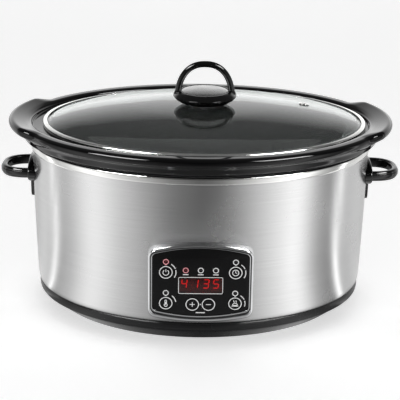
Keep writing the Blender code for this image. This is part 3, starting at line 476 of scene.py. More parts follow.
def at(x, y, z, axis="Z"):
    """The matrix that stands a turned solid at a point (mm) with its Z along an axis."""
    turns = {"Z": (0.0, "X"), "-Z": (180.0, "X"), "-Y": (90.0, "X"), "Y": (-90.0, "X"),
             "X": (90.0, "Y"), "-X": (-90.0, "Y")}
    angle, about = turns[axis]
    return Matrix.Translation(Vector((x, y, z)) * MM) @ Matrix.Rotation(math.radians(angle), 4, about)


def rod(start, end, radius, sides=32):
    """A cylinder between two points (mm)."""
    along = Vector(end) - Vector(start)
    bm = bmesh.new()
    place = Matrix.Translation((Vector(end) + Vector(start)) / 2.0 * MM)
    bmesh.ops.create_cone(bm, cap_ends=True, segments=sides, radius1=radius * MM,
                          radius2=radius * MM, depth=along.length * MM,
                          matrix=place @ along.to_track_quat("Z", "Y").to_matrix().to_4x4())
    return bm


def block(low, high, radius=0.0):
    """A box between two corners (mm), with its edges rounded if radius is given."""
    bm = bmesh.new()
    bmesh.ops.create_cube(bm, size=1.0)
    bmesh.ops.scale(bm, vec=[(b - a) * MM for a, b in zip(low, high)], verts=bm.verts)
    bmesh.ops.translate(bm, vec=[(b + a) / 2.0 * MM for a, b in zip(low, high)], verts=bm.verts)
    if radius:
        bmesh.ops.bevel(bm, geom=bm.edges, offset=radius * MM, affect="EDGES", segments=3,
                        profile=0.5, material=-1)
    return bm


def merged(shapes):
    """One mesh of several separate ones, which are used up."""
    whole = bmesh.new()
    for bm in shapes:
        scratch = bpy.data.meshes.new("scratch")
        bm.to_mesh(scratch)
        bm.free()
        whole.from_mesh(scratch)
        bpy.data.meshes.remove(scratch)
    return whole


def new_object(name, bm, material=None):
    """Links an object made of the mesh, which is used up."""
    mesh = bpy.data.meshes.new(name)
    bm.to_mesh(mesh)
    bm.free()
    if material:
        mesh.materials.append(material)
    made = bpy.data.objects.new(name, mesh)
    bpy.context.scene.collection.objects.link(made)
    return made


def combined(bm, other, operation):
    """The exact union or difference of two closed meshes, which are used up."""
    things = [new_object("scratch", shape) for shape in (bm, other)]
    step = things[0].modifiers.new("Boolean", "BOOLEAN")
    step.operation = operation
    step.solver = "EXACT"
    step.object = things[1]
    graph = bpy.context.evaluated_depsgraph_get()
    result = bpy.data.meshes.new_from_object(things[0].evaluated_get(graph))
    made = bmesh.new()
    made.from_mesh(result)
    bpy.data.meshes.remove(result)
    for thing in things:
        mesh = thing.data
        bpy.data.objects.remove(thing, do_unlink=True)
        bpy.data.meshes.remove(mesh)
    if not made.faces:
        raise RuntimeError("a " + operation.lower() + " left nothing")
    return made


def add_piece(name, bm, material, body, slot, *nodes, sharp=32.0):
    """Makes a smooth-shaded piece that rides on a body and stands for CAD nodes.

    The material is one that is made already, or the name of a finish in the table.
    """
    made = new_object(name, bm, finish(material) if isinstance(material, str) else material)
    made.data.shade_smooth()
    made.data.set_sharp_from_angle(angle=math.radians(sharp))
    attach(made, body)
    if nodes:
        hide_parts(*nodes)


def wall_solid(grow):
    """A solid filling the housing out to grow past its wall, used to trim neighbours."""
    rings = smoothed(WALL_RINGS, 4)
    rings = [(a + grow, b + grow, z) for a, b, z in rings]
    rings[0] = (*rings[0][:2], 0.0)
    return oval_skin(rings + [(*rings[-1][:2], 200.0)])


# ----------------------------------------------------------- panel outlines

def barrel_outline(grow=0.0, top=0.0, bottom=0.0, corner=4.5):
    """The panel's outline as (x, z) points from its middle, anticlockwise.

    The sides are straight and the top and bottom are shallow arches. grow moves the
    sides out, and top and bottom move the arches out.
    """
    half, crown_rise, side_rise = 46.75 + grow, 35.0, 28.5
    sag = crown_rise - side_rise
    arch_radius = (half ** 2 + sag ** 2) / (2.0 * sag)
    points = []
    for sign, out in ((1.0, top), (-1.0, bottom)):
        centre = crown_rise + out - arch_radius
        inner = half - corner
        corner_z = centre + math.sqrt((arch_radius - corner) ** 2 - inner ** 2)
        lean = math.atan2(inner, corner_z - centre)
        run = []
        for step in range(11):
            turn = math.pi / 2.0 - (math.pi / 2.0 - lean) * step / 10.0
            run.append((inner + corner * math.sin(turn), corner_z + corner * math.cos(turn)))
        for step in range(1, 28):
            turn = lean - 2.0 * lean * step / 28.0
            run.append((arch_radius * math.sin(turn), centre + arch_radius * math.cos(turn)))
        for step in range(11):
            turn = -lean - (math.pi / 2.0 - lean) * step / 10.0
            run.append((-inner + corner * math.sin(turn), corner_z + corner * math.cos(turn)))
        points += [(sign * x, sign * z) for x, z in run]
    return points


def panel_ring(depth, grow=0.0, top=None, bottom=None, corner=4.5):
    """The barrel outline as a ring of points in the plane y = depth."""
    top = grow if top is None else top
    bottom = grow if bottom is None else bottom
    return [(x, depth, PANEL_Z + z) for x, z in barrel_outline(grow, top, bottom, corner)]


def arc(centre, radius, start, end, steps=40):
    """Points on an arc between two angles in degrees."""
    turns = [math.radians(start + (end - start) * step / steps) for step in range(steps + 1)]
    return [(centre[0] + radius * math.cos(t), centre[1] + radius * math.sin(t)) for t in turns]


def stroke(path, width, depth, closed=False):
    """A printed line along (x, z) points, standing proud of the plane y = depth."""
    def section(point, across):
        """The line's four corners."""
        a, b = point + across * width / 2.0, point - across * width / 2.0
        return [(a.x, depth, a.y), (b.x, depth, b.y),
                (b.x, depth - PRINT_THICK, b.y), (a.x, depth - PRINT_THICK, a.y)]
    return swept(path, section, closed)


def ring_mark(centre, line, outer, depth):
    """A printed ring of one line width inside an outer radius."""
    return stroke(arc(centre, outer - line / 2.0, 0.0, 360.0, 64)[:-1], line, depth, closed=True)


def shifted(path, centre):
    """The path moved to a centre."""
    return [(x + centre[0], z + centre[1]) for x, z in path]


def panel_holes(places, radius, sides):
    """Rods that cut a hole through the panel at each place."""
    return [rod((x, -150.0, PANEL_Z + rise), (x, -135.0, PANEL_Z + rise), radius, sides)
            for x, rise in places.values()]


def display_block(front, back, grow, radius=0.0):
    """A block as large as the digits' window, grown all round, between two depths."""
    wide, tall = DISPLAY_HALF[0] + grow, DISPLAY_HALF[1] + grow
    return block((-wide, front, DISPLAY_Z - tall), (wide, back, DISPLAY_Z + tall), radius)


# ------------------------------------------------------------------- housing

class SLOWCOOKER_OT_wall(bpy.types.Operator):
    """Make the brushed wall with its panel window and holes"""

    bl_idname = "slow_cooker.wall"
    bl_label = "Brushed Wall"

    def execute(self, context):
        outer = smoothed(WALL_RINGS, 6) + [(*SHELL_TOP_OVAL, SHELL_TOP)]
        inner = [(a - 1.0, b - 1.0, z) for a, b, z in outer]
        wall = oval_skin(outer + inner[::-1], closed=True)
        cuts = [skin([panel_ring(PANEL_FRONT, 0.2), panel_ring(-110.0, 0.2)]),
                rod((0.0, 120.0, INLET_Z), (0.0, 145.0, INLET_Z), 8.3)]
        for side in (-1.0, 1.0):
            for y in (-HANDLE_SCREW_Y, HANDLE_SCREW_Y):
                cuts.append(rod((side * 165.0, y, HANDLE_Z), (side * 185.0, y, HANDLE_Z), 2.3))
        wall = combined(wall, merged(cuts), "DIFFERENCE")
        add_piece("brushed_wall", wall, brushed_steel(), "base", "brushed_steel", "outer_shell")
        return {"FINISHED"}


class SLOWCOOKER_OT_rim(bpy.types.Operator):
    """Make the rolled rim that caps the wall"""

    bl_idname = "slow_cooker.rim"
    bl_label = "Rolled Rim"

    def execute(self, context):
        profile = rounded([
            (0.8, 170.3), (1.2, 171.3), (1.2, RIM_TOP - 2.1), (0.6, RIM_TOP - 0.6), (-1.0, RIM_TOP),
            (-6.9, RIM_TOP), (-6.9, RIM_TOP - 1.4), (GAP, RIM_TOP - 1.4), (GAP, 170.3)], 0.5, closed=True)
        rings = [(SHELL_TOP_OVAL[0] + out, SHELL_TOP_OVAL[1] + out, z) for out, z in profile]
        add_piece("rolled_rim", oval_skin(rings, closed=True), "buffed_stainless_steel", "base",
                  "polished_steel", "top_rim_ring")
        return {"FINISHED"}


class SLOWCOOKER_OT_base(bpy.types.Operator):
    """Make the moulded base with its gloss band and sloping skirt"""

    bl_idname = "slow_cooker.base"
    bl_label = "Moulded Base"

    def execute(self, context):
        a, b = BAND_OVAL
        p, q = PLATE_OVAL
        rings = [
            (a - 4.2, b - 6.7, 25.0), (a - 1.0, b - 2.4, 25.0), (a - 0.3, b - 0.6, 22.5),
            (a, b, 19.5), (a - 0.8, b - 0.7, 16.4), (a - 3.0, b - 2.8, 16.0),
            (a - 3.8, b - 3.5, 14.8), (*SKIRT_OVAL, 2.5), (p + 1.3, q + 1.3, 2.5),
            (p + 1.3, q + 1.3, 4.8), (p - 9.0, q - 9.0, 4.8), (p - 9.0, q - 9.0, 6.8),
            (p + 3.0, q + 3.0, 6.8), (a - 6.2, b - 8.5, 17.0), (a - 4.2, b - 6.7, 20.0),
        ]
        bm = oval_skin(rounded(rings, 1.3, closed=True), closed=True)
        add_piece("moulded_base", bm, base_plastic(), "base", "black_base_plastic", "base_ring")
        return {"FINISHED"}


class SLOWCOOKER_OT_feet(bpy.types.Operator):
    """Make the four rubber feet"""

    bl_idname = "slow_cooker.feet"
    bl_label = "Rubber Feet"

    def execute(self, context):
        profile = rounded([(2.3, 2.7), (9.0, 2.7), (9.0, 1.0), (8.0, 0.0), (6.6, 0.0), (6.2, 0.3),
                           (5.6, 0.3), (5.2, 0.0), (4.8, 0.0), (4.8, 1.6), (2.3, 1.6)],
                          0.3, closed=True, steps=3)
        for ending, side, end in (("front_left", -1, -1), ("front_right", 1, -1),
                                  ("back_left", -1, 1), ("back_right", 1, 1)):
            bm = turned(profile, 48, at(side * FOOT_AT[0], end * FOOT_AT[1], 0.0))
            add_piece("rubber_foot_" + ending, bm, "moulded_foot_rubber", "base", "rubber",
                      "foot_" + ending)
        return {"FINISHED"}


class SLOWCOOKER_OT_gland(bpy.types.Operator):
    """Make the bush in the back wall for the mains cord"""

    bl_idname = "slow_cooker.gland"
    bl_label = "Cord Bush"

    def execute(self, context):
        profile = rounded([(3.6, 4.6), (6.6, 4.6), (8.0, 3.6), (11.0, 1.6), (11.0, 0.0), (8.0, 0.0),
                           (8.0, -5.0), (3.6, -5.0)], 0.6, closed=True, steps=3)
        bm = turned(profile, 64, at(0.0, 134.9, INLET_Z, "Y"))
        add_piece("cord_bush", bm, base_plastic(), "base", "black_base_plastic", "cord_gland")
        return {"FINISHED"}


class SLOWCOOKER_OT_pan(bpy.types.Operator):
    """Make the enamelled pan that the crock hangs in"""

    bl_idname = "slow_cooker.pan"
    bl_label = "Heating Pan"

    def execute(self, context):
        inside = [(163.5, 122.5, PAN_TOP), (152.0, 111.0, 62.0), (147.0, 106.0, 50.0),
                  (136.0, 95.0, 42.0), (120.0, 80.0, 39.5)]
        share = (RIM_TOP + GAP - 62.0) / (PAN_TOP - 62.0)
        neck = [152.0 + 11.5 * share + 1.2, 111.0 + 11.5 * share + 1.2, RIM_TOP + GAP]
        outside = [(172.0, 131.0, PAN_TOP), (172.0, 131.0, RIM_TOP + GAP), neck]
        outside += [(a + 1.2, b + 1.2, z - 0.4) for a, b, z in inside[1:-1]]
        outside.append((120.0, 80.0, 38.3))
        bm = oval_skin(rounded(inside[::-1], 6.0) + rounded(outside, 0.4))
        add_piece("enamelled_pan", bm, "sprayed_pan_enamel", "base", "pan_enamel", "heating_pan")
        return {"FINISHED"}


class SLOWCOOKER_OT_handles(bpy.types.Operator):
    """Make the two side handles, each a D loop on a plate with a tongue"""

    bl_idname = "slow_cooker.handles"
    bl_label = "Side Handles"

    def execute(self, context):
        for side, ending in ((-1.0, "left"), (1.0, "right")):
            rings = [self.plate_ring(side * 160.0, 0.0)]
            for step in range(7):
                turn = math.radians(90.0 * step / 6.0)
                rings.append(self.plate_ring(side * (HANDLE_FACE - 1.6 + 1.6 * math.sin(turn)),
                                             1.6 * (1.0 - math.cos(turn))))
            plate = combined(skin(rings), wall_solid(GAP), "DIFFERENCE")
            deep, face = side * 155.0, side * (HANDLE_FACE - 1.6)
            holes = merged([rod((deep, y, HANDLE_Z), (face, y, HANDLE_Z), 2.2)
                            for y in (-HANDLE_SCREW_Y, HANDLE_SCREW_Y)])
            plate = combined(plate, holes, "DIFFERENCE")
            handle = combined(plate, self.loop(side), "UNION")
            add_piece("d_handle_" + ending, handle, phenolic(), "base", "black_phenolic",
                      "side_handle_" + ending)
        return {"FINISHED"}

    @staticmethod
    def plate_ring(x, inset):
        """The plate's outline in a plane of constant x: an oval with a tongue below."""
        half, low = 5.0 - inset * 0.6, 32.4 - inset
        wide, tall = 32.0 - inset, 13.0 - inset
        points = [(-half, -tall), (1.4 - half, 2.4 - low), (-1.8, -low), (1.8, -low),
                  (half - 1.4, 2.4 - low), (half, -tall)]
        for step in range(4, 77):
            turn = 2.0 * math.pi * step / 80.0 - math.pi / 2.0
            points.append((wide * math.cos(turn), tall * math.sin(turn)))
        return [(x, y, HANDLE_Z + z) for y, z in points]

    @staticmethod
    def loop(side):
        """The bar swept round, its outer face raised in a flat rib."""
        outline = rounded([
            (3.6, -1.9), (3.6, 1.9), (2.9, 2.3), (2.7, 3.5), (1.5, 5.0), (0.0, 5.2), (-1.5, 5.2),
            (-3.0, 4.5), (-3.6, 3.0), (-3.6, -3.0), (-3.0, -4.5), (-1.5, -5.2), (0.0, -5.2),
            (1.5, -5.0), (2.7, -3.5), (2.9, -2.3)], 0.4, closed=True, steps=2)
        reach = HANDLE_TIP - HANDLE_FACE - HANDLE_BAR / 2.0
        half = HANDLE_HALF_SPAN - HANDLE_BAR / 2.0
        root = side * (HANDLE_FACE - 4.6)
        path = [(root, -half)]
        steps, power = 72, 0.8
        for step in range(steps + 1):
            turn = math.pi * (step / steps - 0.5)
            path.append((side * (HANDLE_FACE + reach * abs(math.cos(turn)) ** power),
                         half * math.copysign(abs(math.sin(turn)) ** power, turn)))
        path.append((root, half))

        def section(point, across):
            """The bar's outline, with its rib on the outer face."""
            return [(*(point - across * side * out), HANDLE_Z + up) for out, up in outline]
        return swept(path, section)


# ---------------------------------------------------------- crock, lid, knob

class SLOWCOOKER_OT_crock(bpy.types.Operator):
    """Make the glazed crock with its thick rim and two lifting ears"""

    bl_idname = "slow_cooker.crock"
    bl_label = "Glazed Crock"

    def execute(self, context):
        a, b = CROCK_RIM_OVAL
        rings = [
            (118.0, 77.0, 43.0), (134.0, 93.0, 44.8), (145.0, 104.0, 52.0), (149.5, 108.5, 62.0),
            (159.5, 118.5, PAN_TOP + GAP), (173.0, 132.0, PAN_TOP + GAP),
            (175.5, 133.0, 180.6), (182.8, 137.8, 180.6), (184.6, 139.2, 181.8),
            (187.2, 141.6, 187.6), (188.4, 144.6, 190.0, 0.55), (a - 0.8, b - 1.0, 191.7, 1.0),
            (a, b, 195.4, 1.0), (a - 1.4, b - 1.5, 198.0, 1.0),
            (a - 4.4, b - 4.8, CROCK_TOP, 1.0), (180.4, 136.8, CROCK_TOP - 0.1, 0.2),
            (177.3, 132.6, CROCK_TOP - 1.0), (176.0, 131.2, CROCK_TOP - 2.6), (175.4, 130.6, LEDGE_Z),
            (153.5, 112.5, LEDGE_Z), (152.0, 111.0, LEDGE_Z - 1.5),
            (142.0, 101.0, 64.0), (135.0, 94.0, 54.0), (118.0, 77.0, 50.5),
        ]
        rings = [ring if len(ring) == 4 else (*ring, 0.0) for ring in rings]
        rim = rounded(rings, 1.6, steps=4)
        add_piece("glazed_crock", oval_skin(rim, sides=288), glaze(), "crock",
                  "black_glazed_stoneware", "crock", sharp=50.0)
        return {"FINISHED"}


class SLOWCOOKER_OT_lid(bpy.types.Operator):
    """Make the domed glass, its steel band and the steam vent"""

    bl_idname = "slow_cooker.lid"
    bl_label = "Glass Lid"

    def execute(self, context):
        top = smoothed(GLASS_RINGS, 6)
        under = [(a - 0.2, b - 0.2, z - (2.1 if z < 197.2 else 3.2)) for a, b, z in top]
        glass = oval_skin(top + under[::-1], closed=True, centre_x=LID_SHIFT)
        place = self.vent_place()
        hole = turned([(0.0, 8.0), (4.2, 8.0), (4.2, -8.0), (0.0, -8.0)], 32, place)
        glass = combined(glass, hole, "DIFFERENCE")
        add_piece("glass_dome", glass, tempered_glass(), "lid", "tempered_glass", "lid_glass")
        low = LEDGE_Z + GAP
        profile = rounded([
            (-0.5, low), (0.0, low + 0.6), (0.0, 197.0), (-0.5, 197.7), (-3.8, 198.1), (-4.4, 197.9),
            (-4.4, 197.4), (-0.7, 197.0), (-0.7, low + 0.7), (-3.6, low + 0.7), (-3.6, low)],
            0.3, closed=True, steps=3)
        rings = [(LID_OVAL[0] + out, LID_OVAL[1] + out, z) for out, z in profile]
        add_piece("steel_lid_band", oval_skin(rings, closed=True, centre_x=LID_SHIFT),
                  "buffed_stainless_steel", "lid", "polished_steel", "lid_rim_band")
        eyelet = turned(rounded([
            (2.4, 1.4), (3.4, 1.5), (5.6, 1.1), (5.6, 0.6), (3.8, 0.6), (3.8, -4.4),
            (4.6, -4.6), (4.6, -5.1), (2.4, -5.1)], 0.25, closed=True, steps=3), 48, place)
        add_piece("vent_eyelet", eyelet, "buffed_stainless_steel", "lid", "polished_steel",
                  "lid_vent_eyelet")
        return {"FINISHED"}

    @staticmethod
    def height(x, y):
        """Height of the glass's top face, as the frame has it, from the lid's centre."""
        for outer, inner in zip(GLASS_RINGS, GLASS_RINGS[1:]):
            past_outer = math.hypot(x / outer[0], y / outer[1])
            past_inner = math.hypot(x / inner[0], y / inner[1])
            if past_outer <= 1.0 <= past_inner:
                share = (1.0 - past_outer) / (past_inner - past_outer)
                return outer[2] + (inner[2] - outer[2]) * share
        return GLASS_RINGS[-1][2]

    @classmethod
    def vent_place(cls):
        """The vent's place, square to the glass."""
        x, y = VENT_AT
        lean_x = (cls.height(x - 5.0, y) - cls.height(x + 5.0, y)) / 10.0
        lean_y = (cls.height(x, y - 5.0) - cls.height(x, y + 5.0)) / 10.0
        tilt = Vector((lean_x, lean_y, 1.0)).to_track_quat("Z", "Y").to_matrix().to_4x4()
        return Matrix.Translation(Vector((LID_SHIFT + x, y, cls.height(x, y))) * MM) @ tilt


class SLOWCOOKER_OT_knob(bpy.types.Operator):
    """Make the saucer knob, its loop and the steel trim disc"""

    bl_idname = "slow_cooker.knob"
    bl_label = "Loop Knob"

    def execute(self, context):
        seat = 226.9
        lower = smoothed([(29.8, seat - 0.9), (32.3, 224.3), (32.8, 223.1), (30.6, 220.2), (26.2, 217.3),
                          (20.6, 215.4)], 6)
        profile = [(0.0, seat), (24.7, seat), (24.9, seat + 1.3), (25.4, seat + 1.5),
                   (26.4, seat + 1.4)] + lower + [(2.4, 215.4), (2.4, 222.0), (0.0, 222.0)]
        saucer = turned(profile, 128, at(LID_SHIFT, 0.0, 0.0))
        knob = combined(saucer, self.loop(), "UNION")
        add_piece("loop_knob", knob, phenolic(), "lid", "black_phenolic", "knob")
        crown = smoothed([(10.0, 229.6), (18.0, 229.0), (23.6, 228.2), (24.2, 227.7)], 4)
        disc = turned([(0.0, 229.9)] + crown + [(24.2, 227.2), (0.0, 227.2)], 128,
                      at(LID_SHIFT, 0.0, 0.0))
        add_piece("spun_trim_disc", disc, "satin_spun_steel", "lid", "polished_steel", "knob_trim_disc")
        return {"FINISHED"}

    @staticmethod
    def loop():
        """The round bar over the saucer, thicker where it grows out of it."""
        foot_z, half_span, steps = 222.0, 28.0, 96
        rise = KNOB_TOP - BAR_RADIUS - foot_z
        path = []
        for step in range(steps + 1):
            turn = math.pi * step / steps
            path.append((half_span * math.copysign(abs(math.cos(turn)) ** 0.86, math.cos(turn)),
                         foot_z + rise * max(math.sin(turn), 0.0) ** 0.95))

        def section(point, across):
            """The round bar, swelling near its feet."""
            radius = BAR_RADIUS + 1.3 * max(1.0 - max(point.y - 225.5, 0.0) / 4.0, 0.0) ** 2
            ring = []
            for side in range(24):
                turn = 2.0 * math.pi * side / 24.0
                spot = point - across * radius * math.cos(turn)
                ring.append((LID_SHIFT + spot.x, radius * math.sin(turn), spot.y))
            return ring
        return swept(path, section)


# -------------------------------------------------------------- control panel

class SLOWCOOKER_OT_panel(bpy.types.Operator):
    """Make the chrome frame and its seal, the gloss front, its marks and the tinted window"""

    bl_idname = "slow_cooker.panel"
    bl_label = "Control Panel"

    def execute(self, context):
        self.make_frame()
        rings = [panel_ring(FASCIA_BACK), panel_ring(FASCIA_FRONT + 0.3),
                 panel_ring(FASCIA_FRONT + 0.08, -0.1), panel_ring(FASCIA_FRONT, -0.3)]
        cuts = panel_holes(BUTTONS, BUTTON_RADIUS + GAP, 64) + panel_holes(LEDS, 1.8, 32)
        cuts.append(display_block(-150.0, -135.0, GAP))
        fascia = combined(skin(rings), merged(cuts), "DIFFERENCE")
        add_piece("gloss_front", fascia, fascia_gloss(), "base", "black_fascia", "panel_fascia")
        self.make_marks(context.scene.slow_cooker_panel.line / MM)
        add_piece("red_window", display_block(FASCIA_FRONT + 0.1, FASCIA_BACK, 0.0, 0.25),
                  "smoked_red_polycarbonate", "base", "tinted_window", "display_window")
        return {"FINISHED"}

    @classmethod
    def make_frame(cls):
        """The frame's rounded outer rail, groove and thin inner lip, and the seal in its groove."""
        bezel = skin(cls.frame_rings([
            (22.0, 0.0, 4.5), (0.9, 0.0, 4.5), (0.25, 0.05, 4.7), (0.1, 0.12, 4.9),
            (0.25, 0.2, 5.1), (1.6, 0.24, 5.3), (1.6, 0.42, 5.8), (0.3, 0.45, 6.0),
            (0.05, 0.5, 6.4), (0.0, 0.58, 6.8), (0.15, 0.68, 7.3), (0.5, 0.78, 7.8),
            (1.1, 0.87, 8.3), (1.9, 0.95, 8.7), (3.2, 1.0, 9.0), (22.0, 1.0, 9.0)]), closed=True)
        add_piece("chrome_frame", combined(bezel, wall_solid(GAP), "DIFFERENCE"),
                  "chrome_plated_plastic", "base", "chrome_plating", "panel_bezel")
        seal = skin(cls.frame_rings([(1.55, 0.26, 5.3), (0.8, 0.27, 5.3), (0.65, 0.33, 5.5),
                                     (0.8, 0.39, 5.7), (1.55, 0.4, 5.7)]), closed=True)
        add_piece("frame_seal", seal, "moulded_foot_rubber", "base", "rubber")

    @staticmethod
    def frame_rings(steps):
        """Rings of the frame from (depth, share of its width, corner radius) steps."""
        return [panel_ring(PANEL_FRONT + depth, *(GAP + width * share for width in FRAME_WIDTH), corner)
                for depth, share, corner in steps]

    @staticmethod
    def make_marks(line):
        """The printed rings round the lamps, the ties to the buttons and the label bars."""
        white, lit = [], []

        def bar(start, end, width):
            """A straight white bar between two (x, rise) points."""
            white.append(stroke([(x, PANEL_Z + rise) for x, rise in (start, end)], width, FASCIA_FRONT))
        for name, (x, rise) in LEDS.items():
            marks = lit if name in LIT_LEDS else white
            marks.append(ring_mark((x, PANEL_Z + rise), line, 2.9, FASCIA_FRONT))
            if abs(x) > 30.0:
                ties = [(x, PANEL_Z + rise - 2.9), (x, PANEL_Z + rise - 3.4)]
                marks.append(stroke(ties, 1.5, FASCIA_FRONT))
            else:
                # A short bar stands for each word under the three heat lamps.
                bar((x - 2.7, rise - 4.4), (x + 2.7, rise - 4.4), 0.9)
        # A dot between the plus and minus buttons, and a bar for the word below them.
        rise = BUTTONS["button_plus"][1]
        bar((-0.45, rise), (0.45, rise), 1.1)
        bar((-4.5, -32.0), (4.5, -32.0), 1.0)
        # Short curved bars stand for the words that curl round the corner buttons.
        for name, spans in (("button_power", ((58.0, 22.0), (14.0, -34.0))),
                            ("button_delay", ((58.0, 24.0), (16.0, -34.0))),
                            ("button_temperature", ((52.0, 8.0),)),
                            ("button_keep_warm", ((58.0, 26.0), (18.0, -18.0)))):
            x, rise = BUTTONS[name]
            for start, end in spans:
                white.append(stroke(arc((x, PANEL_Z + rise), 9.8, start, end, 10), 0.9, FASCIA_FRONT))
        # The thin frame round the digits lies on the window itself.
        wide, tall = DISPLAY_HALF[0] - 0.75, DISPLAY_HALF[1] - 0.75
        corners = [(x * wide, DISPLAY_Z + z * tall) for x, z in ((-1, -1), (1, -1), (1, 1), (-1, 1))]
        white.append(stroke(rounded(corners, 1.6, closed=True, steps=6), 0.6, FASCIA_FRONT + 0.1,
                            closed=True))
        add_piece("printed_marks", merged(white), printed_ink(), "base", "black_fascia")
        add_piece("lit_marks", merged(lit), "lit_pink_ink", "base", "red_led")


class SLOWCOOKER_OT_buttons(bpy.types.Operator):
    """Make the six push buttons with their printed rings and icons"""

    bl_idname = "slow_cooker.buttons"
    bl_label = "Push Buttons"

    def execute(self, context):
        line = context.scene.slow_cooker_panel.line / MM
        front = FASCIA_FRONT - 0.3
        cap = FASCIA_BACK + 0.4 - front
        length = BOARD_FRONT - GAP - PRESS - front
        profile = [(0.0, 0.0), (BUTTON_RADIUS - 0.6, 0.0), (BUTTON_RADIUS - 0.3, -0.05),
                   (BUTTON_RADIUS - 0.08, -0.18), (BUTTON_RADIUS, -0.4), (BUTTON_RADIUS, -cap),
                   (2.2, -cap), (2.2, -length), (0.0, -length)]
        for name, (x, rise) in BUTTONS.items():
            z = PANEL_Z + rise
            bm = turned(profile, 64, at(x, front, z, "-Y"))
            add_piece("push_" + name, bm, fascia_gloss(), name, "black_button", name)
            marks = [ring_mark((x, z), line, 6.55, front)]
            marks += [stroke(shifted(path, (x, z)), 0.75, front, closed=loop)
                      for path, loop in self.icon(name)]
            add_piece(name + "_marks", merged(marks), printed_ink(), name, "black_button")
        return {"FINISHED"}

    @staticmethod
    def icon(name):
        """The strokes of a button's sign about its middle, each with whether it closes."""
        if name == "button_power":
            return [(arc((0.0, -0.2), 2.8, 125.0, 415.0), False), ([(0.0, 0.4), (0.0, 3.3)], False)]
        if name == "button_delay":
            return [(arc((0.0, 0.0), 3.0, 0.0, 360.0)[:-1], True),
                    ([(0.0, 1.9), (0.0, 0.0), (1.4, -0.5)], False)]
        if name == "button_temperature":
            bulb = arc((0.0, -2.0), 1.5, 120.0, 420.0, 24)
            top = arc((0.0, 2.6), 0.75, 0.0, 180.0, 12)
            return [(bulb + top, True), ([(0.0, -2.0), (0.0, 1.0)], False)]
        if name == "button_keep_warm":
            steam = [[(x + 0.35 * math.sin(step * 1.05), 1.3 + 0.35 * step) for step in range(7)]
                     for x in (-1.1, 1.1)]
            return [([(-3.3, -2.6), (3.3, -2.6)], False), (arc((0.0, -1.8), 2.4, 0.0, 180.0, 24), False),
                    ([(-2.4, -1.8), (2.4, -1.8)], False), (steam[0], False), (steam[1], False)]
        signs = [([(-2.5, 0.0), (2.5, 0.0)], False)]
        if name == "button_plus":
            signs.append(([(0.0, 2.5), (0.0, 0.38)], False))
            signs.append(([(0.0, -0.38), (0.0, -2.5)], False))
        return signs


class SLOWCOOKER_OT_lamps(bpy.types.Operator):
    """Make the seven lamps"""

    bl_idname = "slow_cooker.lamps"
    bl_label = "Lamps"

    def execute(self, context):
        front = FASCIA_FRONT + 0.2
        length = BOARD_FRONT - GAP - front
        profile = [(0.0, 0.0), (0.4, -0.05), (0.8, -0.2), (1.15, -0.48), (1.4, -0.8), (1.5, -1.1),
                   (1.5, -length), (0.0, -length)]
        for name, (x, rise) in LEDS.items():
            bm = turned(profile, 32, at(x, front, PANEL_Z + rise, "-Y"))
            lit = name in LIT_LEDS
            add_piece("lamp_" + name[4:], bm, "lit_red_lens" if lit else "unlit_smoked_lens",
                      "base", "red_led" if lit else "clear_led", name)
        return {"FINISHED"}


class SLOWCOOKER_OT_digits(bpy.types.Operator):
    """Make the digit module and its lit digits"""

    bl_idname = "slow_cooker.digits"
    bl_label = "Digits"

    LIT_BARS = {"0": "abcdef", "1": "bc", "2": "abged", "3": "abgcd", "4": "fgbc", "5": "afgcd",
                "6": "afgedc", "7": "abc", "8": "abcdefg", "9": "abcdfg"}

    def execute(self, context):
        settings = context.scene.slow_cooker_panel
        module = display_block(FASCIA_BACK + 0.5, BOARD_FRONT - GAP, -1.0, 0.3)
        add_piece("digit_module", module, "dark_red_filter", "base", "black_base_plastic",
                  "display_module")
        on, off = [], []
        for place, digit in zip((-15.9, -5.1, 5.3, 14.9), settings.digits.ljust(4)):
            for bar, ends in self.bars(place, DISPLAY_Z + 1.2).items():
                lit = bar in self.LIT_BARS.get(digit, "")
                (on if lit else off).append(self.bar(*ends))
        # Diffused plastic bars lit from inside: an even red glow.
        glow = surface("lit_red_digits", settings.lit, 0.9, (0.4, 0.5), 1.0, 5.0, 0.0, {
            "Emission Color": (*settings.lit, 1.0), "Emission Strength": settings.glow})
        add_piece("lit_digits", merged(on), glow, "base", "red_led")
        add_piece("unlit_digits", merged(off), "unlit_red_digits", "base", "red_led")
        return {"FINISHED"}

    @staticmethod
    def bars(x, z):
        """The ends of a digit's seven bars, leaning slightly to the right."""
        half, tall = 2.45, 4.3
        lean = math.tan(math.radians(7.0))

        def spot(across, up):
            """A corner of the leaning digit."""
            return Vector((x + across + up * lean, z + up))
        corners = {"tl": spot(-half, tall), "tr": spot(half, tall), "ml": spot(-half, 0.0),
                   "mr": spot(half, 0.0), "bl": spot(-half, -tall), "br": spot(half, -tall)}
        pairs = {"a": "tl tr", "b": "tr mr", "c": "mr br", "d": "bl br", "e": "ml bl", "f": "tl ml",
                 "g": "ml mr"}
        return {bar: [corners[end] for end in pair.split()] for bar, pair in pairs.items()}

    @staticmethod
    def bar(start, end):
        """One bar: a thin six-sided prism with pointed ends."""
        along = (end - start).normalized()
        across = Vector((-along.y, along.x)) * 0.52
        start, end = start + along * 0.12, end - along * 0.12
        inner = along * 0.52
        outline = [start, start + inner + across, end - inner + across, end, end - inner - across,
                   start + inner - across]
        return skin([[(spot.x, depth, spot.y) for spot in outline] for depth in (-141.15, -141.35)])


# ------------------------------------------------------------- inner pieces

